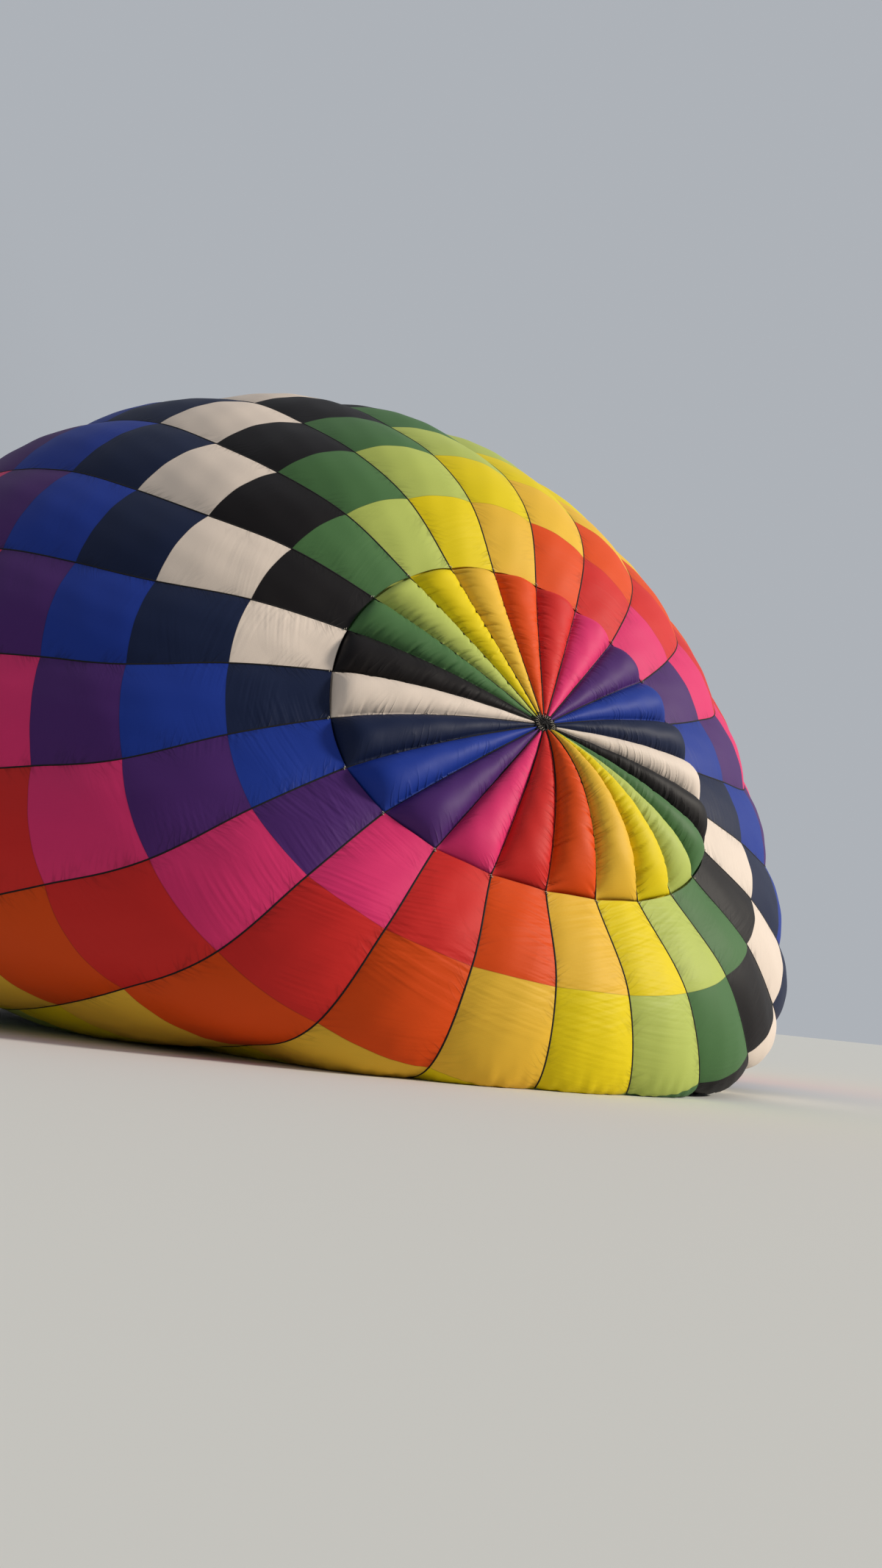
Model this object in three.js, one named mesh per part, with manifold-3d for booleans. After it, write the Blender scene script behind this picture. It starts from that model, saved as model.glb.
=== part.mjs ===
// Hot air balloon lying on its side while it is filled, in millimetres.
// +X runs along the envelope towards its crown, +Z is up, and the ground is the plane z = 0 inside
// the group "standing", which is then shifted so that the part's origin is in the middle of the air.
import * as THREE from 'three';
import { mergeVertices } from 'three/addons/utils/BufferGeometryUtils.js';
import Module from 'manifold-3d';

const wasm = await Module();
wasm.setup();

// Envelope: gores sewn from panels one fabric width tall, so every row of panels is ROW_PITCH along a tape.
const GORES = 24;
const ROWS = 14;
const FABRIC = 10;
const SEAM_GAP = 0.6;
const GORE_BULGE = 70;
// The tape at the middle of the underside, and how far the tapes wind round per row, in gores.
const FOOT_TAPE = 6.66;
const TAPE_TWIST = -0.12;
// Middle of the widest part, where the air that holds the balloon up is said to act.
const AIR_CENTRE = { x: -6500, y: 0, z: 6300 };

// Sections of the lying envelope, one per line, each at a seam between two rows of panels.
// topX, topZ: its highest point. footX, footZ: its lowest point. half: half its width.
// belly: height of its widest point as a share of its height. footSquare and topSquare: exponents of the
// rounded outline below and above that point, 2 being an ellipse. bow: how far its sides lie behind.
const SECTIONS = [
  // row, topX, topZ, footX, footZ, half, belly, footSquare, topSquare, bow
  [0, -1140, 8090, 1580, 2660, 3420, 0.39, 2.2, 2.0, 530],
  [1, -1660, 9400, 2160, 1360, 4790, 0.41, 2.35, 2.0, 1100],
  [2, -2550, 10470, 1860, 20, 6050, 0.43, 2.45, 2.0, 1170],
  [3, -3700, 11330, 450, 0, 7020, 0.42, 3.6, 2.0, 960],
  [4, -4890, 12080, -1020, 0, 7920, 0.41, 4.4, 2.0, 730],
  [5.5, -6900, 12600, -3200, 0, 8910, 0.42, 4.8, 2.0, 510],
  [7.5, -9700, 12200, -6020, 0, 9150, 0.43, 3.8, 2.0, 450],
  [10, -12830, 10430, -9540, 0, 7930, 0.43, 3.1, 2.0, 300],
  [12, -14900, 8160, -12390, 0, 5810, 0.45, 2.6, 2.0, 0],
  [14, -16300, 5450, -15110, 200, 2900, 0.47, 2.2, 2.0, 0],
];
const COLUMN = { row: 0, topX: 1, topZ: 2, footX: 3, footZ: 4, half: 5, belly: 6, footSquare: 7, topSquare: 8, bow: 9 };

// Crown: a dome over the vent opening, closed from inside by the parachute vent.
const CROWN_RISE = 300;
const CROWN_RING = { outer: 170, inner: 95, thick: 14 };
const CROWN_TAPE = 30;
const TAPE_END_GAP = 1.6;
const VENT_OVERLAP_ROWS = 0.2;
const VENT_LOBE = 170;
const VENT_EDGE_DROP = 3;
const VENT_HEM_DROP = 60;

// Mouth: a skirt below the last row of panels, with one flying wire from each load tape.
const SKIRT_ROWS = 0.4;
const ROW_PITCH = 1450;
const WIRE = 6;

// Gondola, described upright on its floor and then laid on its side.
const BASKET = { width: 1150, length: 1400, height: 1080, wall: 45, corner: 130 };
const FLOOR_PLY = 18;
const ROD_POCKET = { across: 72, long: 260, up: 110, outward: 6 };
const STEP_HOLE = { wide: 190, tall: 120, height: 330 };
const SKID = { wide: 60, tall: 34, apart: 660, short: 60 };
const RIM = { wide: 84, tall: 62 };
const UPRIGHT = { radius: 17, inset: 100, foot: 420, bore: 18.4, clearOfRim: 100, straightHead: 160, headGap: 30 };
const FRAME = { height: 1960, halfX: 420, halfY: 540, tube: 18 };
const CYLINDER = { radius: 150, height: 800, inset: 200, foot: 40, dish: 12, recess: 24 };
const PIN = { radius: 9, bore: 9.5, past: 10 };
const FRAME_EAR = { wide: 46, deep: 30, tall: 60, inset: 24, boreIn: 60, boreOut: 30 };
const GIMBAL = { halfX: 250, halfY: 430, tube: 14 };
const GIMBAL_EAR = { deep: 30, wide: 46, tall: 52, boreIn: 60, boreOut: 40, pinIn: 5 };
const BURNER = { spacing: 300, can: 118, canHeight: 340, canWall: 4, lift: 60, bowl: 70, bowlFoot: 0.62 };
const BLOCK = { across: 130, tall: 170, drop: 20 };
const VALVE = { across: 40, tall: 90, drop: 140, outward: 0.3 };
const BURNER_BAR = { deep: 90, tall: 70, drop: 20 };
const GONDOLA_X = -21150;
const SEAT = 0.4;

const standing = new THREE.Group();
standing.position.set(-AIR_CENTRE.x, -AIR_CENTRE.y, -AIR_CENTRE.z);
const balloon = new THREE.Group();
balloon.add(standing);

const finish = (hex, roughness, metalness = 0) =>
  new THREE.MeshStandardMaterial({ color: hex, roughness, metalness });
const STEEL = () => finish('#b9bcbd', 0.35, 0.9);
const RUBBERED = () => finish('#1d1b1c', 0.7);
// The twelve cloths in their order round the balloon, twice round.
const CLOTHS = [
  '#dcd3c3', '#15263c', '#1f3080', '#4b2762', '#d43a68', '#c42c2c',
  '#e2521a', '#e2b540', '#e8d41c', '#b0c85c', '#3f7246', '#2a2323',
];

function addMesh(parent, name, geometry, material) {
  const mesh = new THREE.Mesh(geometry, material);
  mesh.name = name;
  parent.add(mesh);
  return mesh;
}

// Joining and cutting

function toSolid(geometry) {
  const bare = geometry.index ? geometry.toNonIndexed() : geometry.clone();
  for (const key of Object.keys(bare.attributes)) if (key !== 'position') bare.deleteAttribute(key);
  const merged = mergeVertices(bare, 1e-4);
  return new wasm.Manifold(new wasm.Mesh({
    numProp: 3,
    vertProperties: merged.attributes.position.array,
    triVerts: new Uint32Array(merged.index.array),
  }));
}

function toGeometry(solid) {
  const mesh = solid.getMesh();
  const geometry = new THREE.BufferGeometry();
  geometry.setAttribute('position', new THREE.BufferAttribute(new Float32Array(mesh.vertProperties), 3));
  geometry.setIndex(new THREE.BufferAttribute(new Uint32Array(mesh.triVerts), 1));
  return geometry;
}

const join = (...geometries) => toGeometry(geometries.map(toSolid).reduce((a, b) => a.add(b)));
const cut = (body, ...tools) => toGeometry(tools.map(toSolid).reduce((a, b) => a.subtract(b), toSolid(body)));

function box(sx, sy, sz, x = 0, y = 0, z = 0) {
  return new THREE.BoxGeometry(sx, sy, sz).translate(x, y, z);
}

// A round bar from one point to another.
function bar(from, to, radius, sides = 10) {
  const along = new THREE.Vector3().subVectors(to, from);
  const geometry = new THREE.CylinderGeometry(radius, radius, along.length(), sides);
  const turn = new THREE.Quaternion().setFromUnitVectors(new THREE.Vector3(0, 1, 0), along.clone().normalize());
  geometry.applyQuaternion(turn);
  const middle = new THREE.Vector3().addVectors(from, to).multiplyScalar(0.5);
  return geometry.translate(middle.x, middle.y, middle.z);
}

// A closed skin over a grid of rings: outer[i][j] and inner[i][j] are points, closed round j or not.
// Both sides of the skin are split along the same diagonals, so that it keeps its thickness where it twists.
function shellGeometry(outer, inner, closed) {
  const rings = outer.length;
  const count = outer[0].length;
  const columns = closed ? count : count - 1;
  const positions = [];
  const quad = (a, b, c, d) => {
    for (const p of [a, b, c, a, c, d]) positions.push(p.x, p.y, p.z);
  };
  for (let i = 0; i + 1 < rings; i++) {
    for (let j = 0; j < columns; j++) {
      const k = (j + 1) % count;
      quad(outer[i][j], outer[i + 1][j], outer[i + 1][k], outer[i][k]);
      quad(inner[i][j], inner[i][k], inner[i + 1][k], inner[i + 1][j]);
    }
    // Both long edges are split along the same diagonal, so that two neighbours' edges stay parallel.
    if (!closed) {
      quad(outer[i][0], inner[i][0], inner[i + 1][0], outer[i + 1][0]);
      quad(inner[i + 1][columns], inner[i][columns], outer[i][columns], outer[i + 1][columns]);
    }
  }
  const last = rings - 1;
  for (let j = 0; j < columns; j++) {
    const k = (j + 1) % count;
    quad(outer[0][k], inner[0][k], inner[0][j], outer[0][j]);
    quad(outer[last][j], inner[last][j], inner[last][k], outer[last][k]);
  }
  const geometry = new THREE.BufferGeometry();
  geometry.setAttribute('position', new THREE.Float32BufferAttribute(positions, 3));
  return geometry;
}

// The lying envelope as a surface over (row, turn)

// Value of a column at any row: a smooth curve through the table's values.
function columnAt(name, row) {
  const c = COLUMN[name];
  const t = SECTIONS.map((line) => line[0]);
  const v = SECTIONS.map((line) => line[c]);
  const last = t.length - 1;
  let i = 0;
  while (i < last - 1 && row > t[i + 1]) i++;
  const slope = (k) => (v[k + 1] - v[k]) / (t[k + 1] - t[k]);
  const tangent = (k) => {
    if (k === 0) return slope(0);
    if (k === last) return slope(last - 1);
    const before = t[k] - t[k - 1];
    const after = t[k + 1] - t[k];
    return (slope(k - 1) * after + slope(k) * before) / (before + after);
  };
  const h = t[i + 1] - t[i];
  const s = (row - t[i]) / h;
  const s2 = s * s;
  const s3 = s2 * s;
  return (2 * s3 - 3 * s2 + 1) * v[i] + (s3 - 2 * s2 + s) * h * tangent(i)
    + (3 * s2 - 2 * s3) * v[i + 1] + (s3 - s2) * h * tangent(i + 1);
}

const OUTLINE_STEPS = 240;

// One closed section: its outline points and the running length along them from the foot.
function makeSection(row) {
  const at = (name) => columnAt(name, row);
  const top = new THREE.Vector3(at('topX'), 0, at('topZ'));
  const foot = new THREE.Vector3(at('footX'), 0, at('footZ'));
  const height = top.distanceTo(foot);
  const half = at('half');
  const belly = at('belly') * height;
  const points = [];
  const lengths = [0];
  for (let i = 0; i <= OUTLINE_STEPS; i++) {
    const angle = (2 * Math.PI * i) / OUTLINE_STEPS;
    const s = Math.sin(angle);
    const c = Math.cos(angle);
    const power = 2 / (c > 0 ? at('footSquare') : at('topSquare'));
    const side = Math.sign(s) * Math.abs(s) ** power;
    const rise = Math.abs(c) ** power;
    const v = c > 0 ? belly * (1 - rise) : belly + (height - belly) * rise;
    const point = foot.clone().lerp(top, v / height);
    point.y = half * side;
    point.x -= at('bow') * side * side;
    points.push(point);
    if (i > 0) lengths.push(lengths[i - 1] + point.distanceTo(points[i - 1]));
  }
  return { row, points, lengths, round: lengths[OUTLINE_STEPS] };
}

const sectionStore = new Map();
function section(row) {
  if (!sectionStore.has(row)) sectionStore.set(row, makeSection(row));
  return sectionStore.get(row);
}

// Point on a section at a share of its length round from the foot, towards +Y first.
function pointRound(sec, turn) {
  const wanted = (turn - Math.floor(turn)) * sec.round;
  let low = 0;
  let high = OUTLINE_STEPS;
  while (high - low > 1) {
    const middle = (low + high) >> 1;
    if (sec.lengths[middle] > wanted) high = middle;
    else low = middle;
  }
  const share = (wanted - sec.lengths[low]) / (sec.lengths[high] - sec.lengths[low]);
  return sec.points[low].clone().lerp(sec.points[high], share);
}

const turnOf = (row, tape) => (tape - FOOT_TAPE - TAPE_TWIST * row) / GORES;
const skinPoint = (row, tape) => pointRound(section(row), turnOf(row, tape));

// Outward direction of the smooth surface.
function skinNormal(row, tape) {
  const dr = 0.05;
  const dt = 0.05;
  const lowRow = Math.max(row - dr, 0);
  const highRow = Math.min(row + dr, ROWS);
  const along = skinPoint(highRow, tape).sub(skinPoint(lowRow, tape));
  const across = skinPoint(row, tape + dt).sub(skinPoint(row, tape - dt));
  return along.cross(across).normalize();
}

// The dome over the vent opening: the opening's edge drawn in to the crown and lifted. The edge isn't
// flat, and what it stands out of its mean plane fades with the cube of the distance from the crown.
const ventEdgeMiddle = (() => {
  const sum = new THREE.Vector3();
  for (let tape = 0; tape < GORES; tape++) sum.add(skinPoint(0, tape));
  return sum.multiplyScalar(1 / GORES);
})();
const crownAxis = (() => {
  const sum = new THREE.Vector3();
  for (let tape = 0; tape < GORES; tape++) {
    const a = skinPoint(0, tape).sub(ventEdgeMiddle);
    const b = skinPoint(0, tape + 1).sub(ventEdgeMiddle);
    sum.add(a.cross(b));
  }
  return sum.normalize();
})();

function domePoint(share, tape) {
  const edge = skinPoint(0, tape).sub(ventEdgeMiddle);
  const proud = edge.dot(crownAxis);
  const lift = proud * (share ** 3 - share) + CROWN_RISE * (1 - share * share);
  return edge.multiplyScalar(share).add(ventEdgeMiddle).addScaledVector(crownAxis, lift);
}

function domeNormal(share, tape) {
  const d = 0.02;
  const along = domePoint(Math.min(share + d, 1), tape).sub(domePoint(share - d, tape));
  const across = domePoint(share, tape + d).sub(domePoint(share, tape - d));
  return along.cross(across).normalize();
}

const aboveGround = (point) => point.setZ(Math.max(point.z, 0));

// Gores

const GORE_STEPS_PER_ROW = 1.5;
const goreRows = (() => {
  const steps = Math.round(ROWS * GORE_STEPS_PER_ROW);
  return Array.from({ length: steps + 1 }, (unused, i) => (ROWS * i) / steps);
})();
// The bulge between two tapes fades where the cloth is gathered at the vent and at the mouth.
const bulgeAt = (row) => GORE_BULGE * Math.min(1, 0.35 + row / 3, (ROWS - row) / 2);

function goreGeometry(number) {
  const outer = [];
  const inner = [];
  for (const row of goreRows) {
    const edge = ((SEAM_GAP / 2) * GORES) / section(row).round;
    const outerRing = [];
    const innerRing = [];
    for (const share of [edge, 0.5, 1 - edge]) {
      const tape = number + share;
      const normal = skinNormal(row, tape);
      const out = skinPoint(row, tape).addScaledVector(normal, share === 0.5 ? bulgeAt(row) : 0);
      aboveGround(out);
      outerRing.push(out);
      innerRing.push(out.clone().addScaledVector(normal, -FABRIC));
    }
    outer.push(outerRing);
    inner.push(innerRing);
  }
  return shellGeometry(outer, inner, false);
}

const twoFigures = (n) => String(n).padStart(2, '0');
for (let number = 0; number < GORES; number++) {
  addMesh(standing, `gore_${twoFigures(number + 1)}`, goreGeometry(number), finish(CLOTHS[number % 12], 0.6));
}

// Parachute vent: a lobed cap under the crown tapes, lapping under the gores all round.

const VENT_UNDER = FABRIC + 2 * SEAM_GAP;
const TAPE_CLEAR = 22;
// Share of the way out from the crown, how far the cloth swells there between two tapes as a share of
// VENT_LOBE, and how far it hangs below its tapes there.
const VENT_RINGS = [
  [0.047, 0, 3], [0.22, 0.35, 0], [0.42, 0.75, 0], [0.62, 1, 0], [0.8, 0.9, 0], [0.93, 0.5, 0], [1, 0, VENT_EDGE_DROP],
];

function ventGeometry() {
  const outer = [];
  const inner = [];
  const goreWidth = section(0).round / GORES;
  const ring = (share, place, direction, lobe, drop) => {
    const outerRing = [];
    const innerRing = [];
    const clear = Math.min(0.4, TAPE_CLEAR / (goreWidth * share));
    for (let tape = 0; tape < GORES; tape++) {
      for (const offset of [-clear, clear, 0.5]) {
        const lift = offset === 0.5 ? lobe : 0;
        const normal = direction(tape + offset);
        const out = place(tape + offset).addScaledVector(normal, lift - VENT_UNDER - drop);
        outerRing.push(out);
        innerRing.push(out.clone().addScaledVector(normal, -FABRIC));
      }
    }
    outer.push(outerRing);
    inner.push(innerRing);
  };
  for (const [share, swell, drop] of VENT_RINGS) {
    ring(share, (tape) => domePoint(share, tape), (tape) => domeNormal(share, tape), VENT_LOBE * swell, drop);
  }
  const lap = VENT_OVERLAP_ROWS;
  ring(1, (tape) => skinPoint(lap, tape), (tape) => skinNormal(lap, tape), 0, VENT_HEM_DROP);
  return { outer, inner };
}

function cappedShell({ outer, inner }) {
  const positions = [];
  const push = (...points) => points.forEach((p) => positions.push(p.x, p.y, p.z));
  const count = outer[0].length;
  const last = outer.length - 1;
  const middleOf = (ring) => ring.reduce((sum, p) => sum.add(p), new THREE.Vector3()).multiplyScalar(1 / count);
  const outerMiddle = middleOf(outer[0]);
  const innerMiddle = middleOf(inner[0]);
  for (let j = 0; j < count; j++) {
    const k = (j + 1) % count;
    push(outerMiddle, outer[0][j], outer[0][k]);
    push(innerMiddle, inner[0][k], inner[0][j]);
    for (let i = 0; i < last; i++) {
      push(outer[i][j], outer[i + 1][j], outer[i + 1][k], outer[i][j], outer[i + 1][k], outer[i][k]);
      push(inner[i][j], inner[i][k], inner[i + 1][k], inner[i][j], inner[i + 1][k], inner[i + 1][j]);
    }
    push(outer[last][j], inner[last][j], inner[last][k], outer[last][j], inner[last][k], outer[last][k]);
  }
  const geometry = new THREE.BufferGeometry();
  geometry.setAttribute('position', new THREE.Float32BufferAttribute(positions, 3));
  return geometry;
}

addMesh(standing, 'parachute_vent', cappedShell(ventGeometry()), finish('#c42c2c', 0.55));

// Crown ring and the load tapes that cross the vent to it, one body.

function crownTapeGeometry(tape) {
  const outer = [];
  const inner = [];
  const endShare = 1 - (TAPE_END_GAP * 2 * Math.PI) / section(0).round;
  const shares = VENT_RINGS.map(([share]) => Math.min(share, endShare));
  for (const share of shares) {
    const middle = domePoint(share, tape);
    const normal = share === endShare ? skinNormal(0, tape) : domeNormal(share, tape);
    const across = domePoint(share, tape + 0.02).sub(middle).normalize();
    const outerRing = [];
    const innerRing = [];
    for (const side of [-1, 1]) {
      const out = middle.clone().addScaledVector(across, (side * CROWN_TAPE) / 2);
      outerRing.push(out);
      innerRing.push(out.clone().addScaledVector(normal, -FABRIC));
    }
    outer.push(outerRing);
    inner.push(innerRing);
  }
  return shellGeometry(outer, inner, false);
}

const crownMiddle = domePoint(0, 0);
function crownRingGeometry() {
  const { outer, inner, thick } = CROWN_RING;
  const profile = [
    new THREE.Vector2(inner, -thick / 2), new THREE.Vector2(outer, -thick / 2),
    new THREE.Vector2(outer, thick / 2), new THREE.Vector2(inner, thick / 2),
    new THREE.Vector2(inner, -thick / 2),
  ];
  const ring = new THREE.LatheGeometry(profile, GORES);
  const turn = new THREE.Quaternion().setFromUnitVectors(new THREE.Vector3(0, 1, 0), crownAxis);
  ring.applyQuaternion(turn);
  return ring.translate(crownMiddle.x, crownMiddle.y, crownMiddle.z);
}

const crownTapes = Array.from({ length: GORES }, (unused, tape) => crownTapeGeometry(tape));
addMesh(standing, 'crown_ring', join(crownRingGeometry(), ...crownTapes), RUBBERED());

// Skirt at the mouth, hung from the last row of panels.

const LAST_STEP_ROWS = 0.5;
const mouthRow = (row, tape) => {
  const edge = skinPoint(ROWS, tape);
  const before = skinPoint(ROWS - LAST_STEP_ROWS, tape);
  return edge.clone().addScaledVector(edge.clone().sub(before), (row - ROWS) / LAST_STEP_ROWS);
};

function skirtGeometry() {
  const outer = [];
  const inner = [];
  const start = ROWS + SEAM_GAP / ROW_PITCH;
  for (const row of [start, ROWS + SKIRT_ROWS]) {
    const outerRing = [];
    const innerRing = [];
    for (let i = 0; i < GORES * 2; i++) {
      const tape = i / 2;
      const normal = skinNormal(ROWS, tape);
      const out = aboveGround(mouthRow(row, tape));
      outerRing.push(out);
      innerRing.push(out.clone().addScaledVector(normal, -FABRIC));
    }
    outer.push(outerRing);
    inner.push(innerRing);
  }
  return shellGeometry(outer, inner, true);
}
addMesh(standing, 'mouth_skirt', skirtGeometry(), RUBBERED());

// Gondola, built upright (local +Z from the floor to the burners) and laid on its side.

const gondola = new THREE.Group();
gondola.rotation.y = Math.PI / 2;
gondola.position.set(GONDOLA_X, 0, BASKET.width / 2 + (RIM.wide - BASKET.wall) / 2);
standing.add(gondola);

function roundedOutline(halfX, halfY, radius, Shape = THREE.Shape) {
  const shape = new Shape();
  shape.moveTo(halfX - radius, -halfY);
  shape.absarc(halfX - radius, -halfY + radius, radius, -Math.PI / 2, 0);
  shape.absarc(halfX - radius, halfY - radius, radius, 0, Math.PI / 2);
  shape.absarc(-halfX + radius, halfY - radius, radius, Math.PI / 2, Math.PI);
  shape.absarc(-halfX + radius, -halfY + radius, radius, Math.PI, 1.5 * Math.PI);
  return shape;
}

function roundedRing(halfX, halfY, radius, wall, height, z) {
  const shape = roundedOutline(halfX, halfY, radius);
  shape.holes.push(roundedOutline(halfX - wall, halfY - wall, radius - wall, THREE.Path));
  return new THREE.ExtrudeGeometry(shape, { depth: height, bevelEnabled: false, curveSegments: 5 }).translate(0, 0, z);
}

const floorTop = SKID.tall + SEAT + FLOOR_PLY;
const wallFoot = SKID.tall + SEAT;
const halfWidth = BASKET.width / 2;
const halfLength = BASKET.length / 2;
const corners = [[1, 1], [1, -1], [-1, 1], [-1, -1]];
const uprightPlace = ([sx, sy]) => [sx * (halfWidth - UPRIGHT.inset), sy * (halfLength - UPRIGHT.inset)];
const framePlace = ([sx, sy]) => [sx * FRAME.halfX, sy * FRAME.halfY];

function basketWallGeometry() {
  const wall = roundedRing(halfWidth, halfLength, BASKET.corner, BASKET.wall, BASKET.height - wallFoot, wallFoot);
  const sockets = corners.map((corner) => {
    const [x, y] = uprightPlace(corner);
    const { across, long, up, outward } = ROD_POCKET;
    return box(across, across, long, x + corner[0] * outward, y + corner[1] * outward, UPRIGHT.foot + up);
  });
  const bores = corners.map((corner) => {
    const [x, y] = uprightPlace(corner);
    return bar(new THREE.Vector3(x, y, UPRIGHT.foot - SEAT), new THREE.Vector3(x, y, BASKET.height), UPRIGHT.bore, 16);
  });
  const step = box(3 * BASKET.wall, STEP_HOLE.wide, STEP_HOLE.tall, -halfWidth, 0, STEP_HOLE.height);
  return cut(join(wall, ...sockets), ...bores, step);
}
addMesh(gondola, 'basket_walls', basketWallGeometry(), finish('#a8793f', 0.75));

const floorInset = BASKET.wall + SEAT;
const floorBoard = new THREE.ExtrudeGeometry(
  roundedOutline(halfWidth - floorInset, halfLength - floorInset, BASKET.corner - floorInset),
  { depth: FLOOR_PLY, bevelEnabled: false, curveSegments: 5 },
).translate(0, 0, wallFoot);
addMesh(gondola, 'basket_floor', floorBoard, finish('#8d6a43', 0.7));

for (const [name, side] of [['skid_lower', 1], ['skid_upper', -1]]) {
  const skid = box(SKID.wide, BASKET.length - SKID.short, SKID.tall, (side * SKID.apart) / 2, 0, SKID.tall / 2);
  addMesh(gondola, name, skid, finish('#7c5733', 0.7));
}

const rim = roundedRing(
  halfWidth + (RIM.wide - BASKET.wall) / 2, halfLength + (RIM.wide - BASKET.wall) / 2,
  BASKET.corner + (RIM.wide - BASKET.wall) / 2, RIM.wide, RIM.tall, BASKET.height + SEAT,
);
addMesh(gondola, 'basket_rim', rim, finish('#4a3222', 0.65));

// Fuel cylinders, one in each corner, standing on the floor.

// The profile as shares of the radius and heights: foot ring, body with sloping shoulders, and the guard
// round a recess for the valve.
function cylinderGeometry() {
  const { radius, height, foot, dish, recess } = CYLINDER;
  const shoulder = radius * 0.55;
  const profile = [
    [0, dish], [0.6, dish], [0.72, 0], [0.8, 0], [0.8, foot], [1, foot + shoulder], [1, height - shoulder],
    [0.7, height - foot], [0.62, height], [0.56, height], [0.5, height - recess], [0, height - recess],
  ].map(([share, z]) => new THREE.Vector2(radius * share, z));
  return new THREE.LatheGeometry(profile, 16).rotateX(Math.PI / 2);
}
corners.forEach(([sx, sy], i) => {
  const inset = CYLINDER.inset + BASKET.wall;
  const mesh = addMesh(gondola, `fuel_cylinder_${i + 1}`, cylinderGeometry(), finish('#9ea3a6', 0.4, 0.7));
  mesh.position.set(sx * (halfWidth - inset), sy * (halfLength - inset), floorTop + SEAT);
});

// Burner frame: a rectangle of tube with a socket and a lug at each corner.

const SOCKET = { radius: 27, down: 130, up: 26 };
const LUG = { across: 46, thick: 10, hole: 13, out: 52, holeInset: 24, rooted: 20 };
const lugHole = FRAME.height + SOCKET.up + LUG.out - LUG.holeInset;
function burnerFrameGeometry() {
  const { halfX, halfY, tube, height } = FRAME;
  const at = (x, y, z = height) => new THREE.Vector3(x, y, z);
  const tubes = [
    bar(at(-halfX, -halfY), at(halfX, -halfY), tube), bar(at(-halfX, halfY), at(halfX, halfY), tube),
    bar(at(-halfX, -halfY), at(-halfX, halfY), tube), bar(at(halfX, -halfY), at(halfX, halfY), tube),
  ];
  const sockets = corners.map((c) => {
    const [x, y] = framePlace(c);
    return bar(at(x, y, height - SOCKET.down), at(x, y, height + SOCKET.up), SOCKET.radius, 12);
  });
  const ear = FRAME_EAR;
  const ears = [-1, 1].map((side) => box(ear.wide, ear.deep, ear.tall, 0, side * (halfY - ear.inset), height));
  const lugs = corners.map((c) => {
    const [x, y] = framePlace(c);
    const long = LUG.out + LUG.rooted;
    return box(LUG.thick, LUG.across, long, x, y, height + SOCKET.up + LUG.out - long / 2);
  });
  const holes = corners.map((c) => {
    const [x, y] = framePlace(c);
    return bar(at(x - 3 * LUG.thick, y, lugHole), at(x + 3 * LUG.thick, y, lugHole), LUG.hole, 12);
  });
  const bores = corners.map((c) => {
    const [x, y] = framePlace(c);
    return bar(at(x, y, height - 1.1 * SOCKET.down), at(x, y, height - UPRIGHT.headGap), UPRIGHT.bore, 16);
  });
  const pivots = [-1, 1].map((side) =>
    bar(at(0, side * (halfY - ear.boreIn)), at(0, side * (halfY + ear.boreOut)), PIN.bore));
  return cut(join(...tubes, ...sockets, ...ears, ...lugs), ...holes, ...bores, ...pivots);
}
addMesh(gondola, 'burner_frame', burnerFrameGeometry(), STEEL());

corners.forEach((corner, i) => {
  const [footX, footY] = uprightPlace(corner);
  const [headX, headY] = framePlace(corner);
  // The rod leaves its basket socket upright, bends over the rim and enters the frame's socket upright.
  const socketFoot = FRAME.height - SOCKET.down;
  const path = new THREE.CatmullRomCurve3([
    new THREE.Vector3(footX, footY, UPRIGHT.foot),
    new THREE.Vector3(footX, footY, UPRIGHT.foot + ROD_POCKET.long),
    new THREE.Vector3(footX, footY, BASKET.height + UPRIGHT.clearOfRim),
    new THREE.Vector3(headX, headY, socketFoot - UPRIGHT.straightHead),
    new THREE.Vector3(headX, headY, socketFoot - UPRIGHT.radius),
    new THREE.Vector3(headX, headY, FRAME.height - UPRIGHT.headGap - SEAT),
  ], false, 'centripetal');
  const round = new THREE.Shape().absarc(0, 0, UPRIGHT.radius, 0, 2 * Math.PI);
  const rod = new THREE.ExtrudeGeometry(round, { steps: 14, curveSegments: 4, bevelEnabled: false, extrudePath: path });
  addMesh(gondola, `upright_${i + 1}`, rod, finish('#2c2622', 0.6));
});

// Gimbal ring and the double burner that tilts in it.

function gimbalGeometry() {
  const { halfX, halfY, tube } = GIMBAL;
  const z = FRAME.height;
  const at = (x, y) => new THREE.Vector3(x, y, z);
  const tubes = [
    bar(at(-halfX, -halfY), at(halfX, -halfY), tube), bar(at(-halfX, halfY), at(halfX, halfY), tube),
    bar(at(-halfX, -halfY), at(-halfX, halfY), tube), bar(at(halfX, -halfY), at(halfX, halfY), tube),
  ];
  const ear = GIMBAL_EAR;
  const balls = corners.map(([sx, sy]) => new THREE.SphereGeometry(tube + 2, 8, 6).translate(sx * halfX, sy * halfY, z));
  const pins = [-1, 1].map((side) =>
    bar(at(0, side * (halfY - ear.pinIn)), at(0, side * (FRAME.halfY + PIN.past)), PIN.radius));
  const ears = [-1, 1].map((side) => box(ear.deep, ear.wide, ear.tall, side * (halfX - tube), 0, z));
  const bores = [-1, 1].map((side) =>
    bar(at(side * (halfX - ear.boreIn), 0), at(side * (halfX + ear.boreOut), 0), PIN.bore));
  return cut(join(...tubes, ...balls, ...pins, ...ears), ...bores);
}
addMesh(gondola, 'gimbal_ring', gimbalGeometry(), STEEL());

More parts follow.
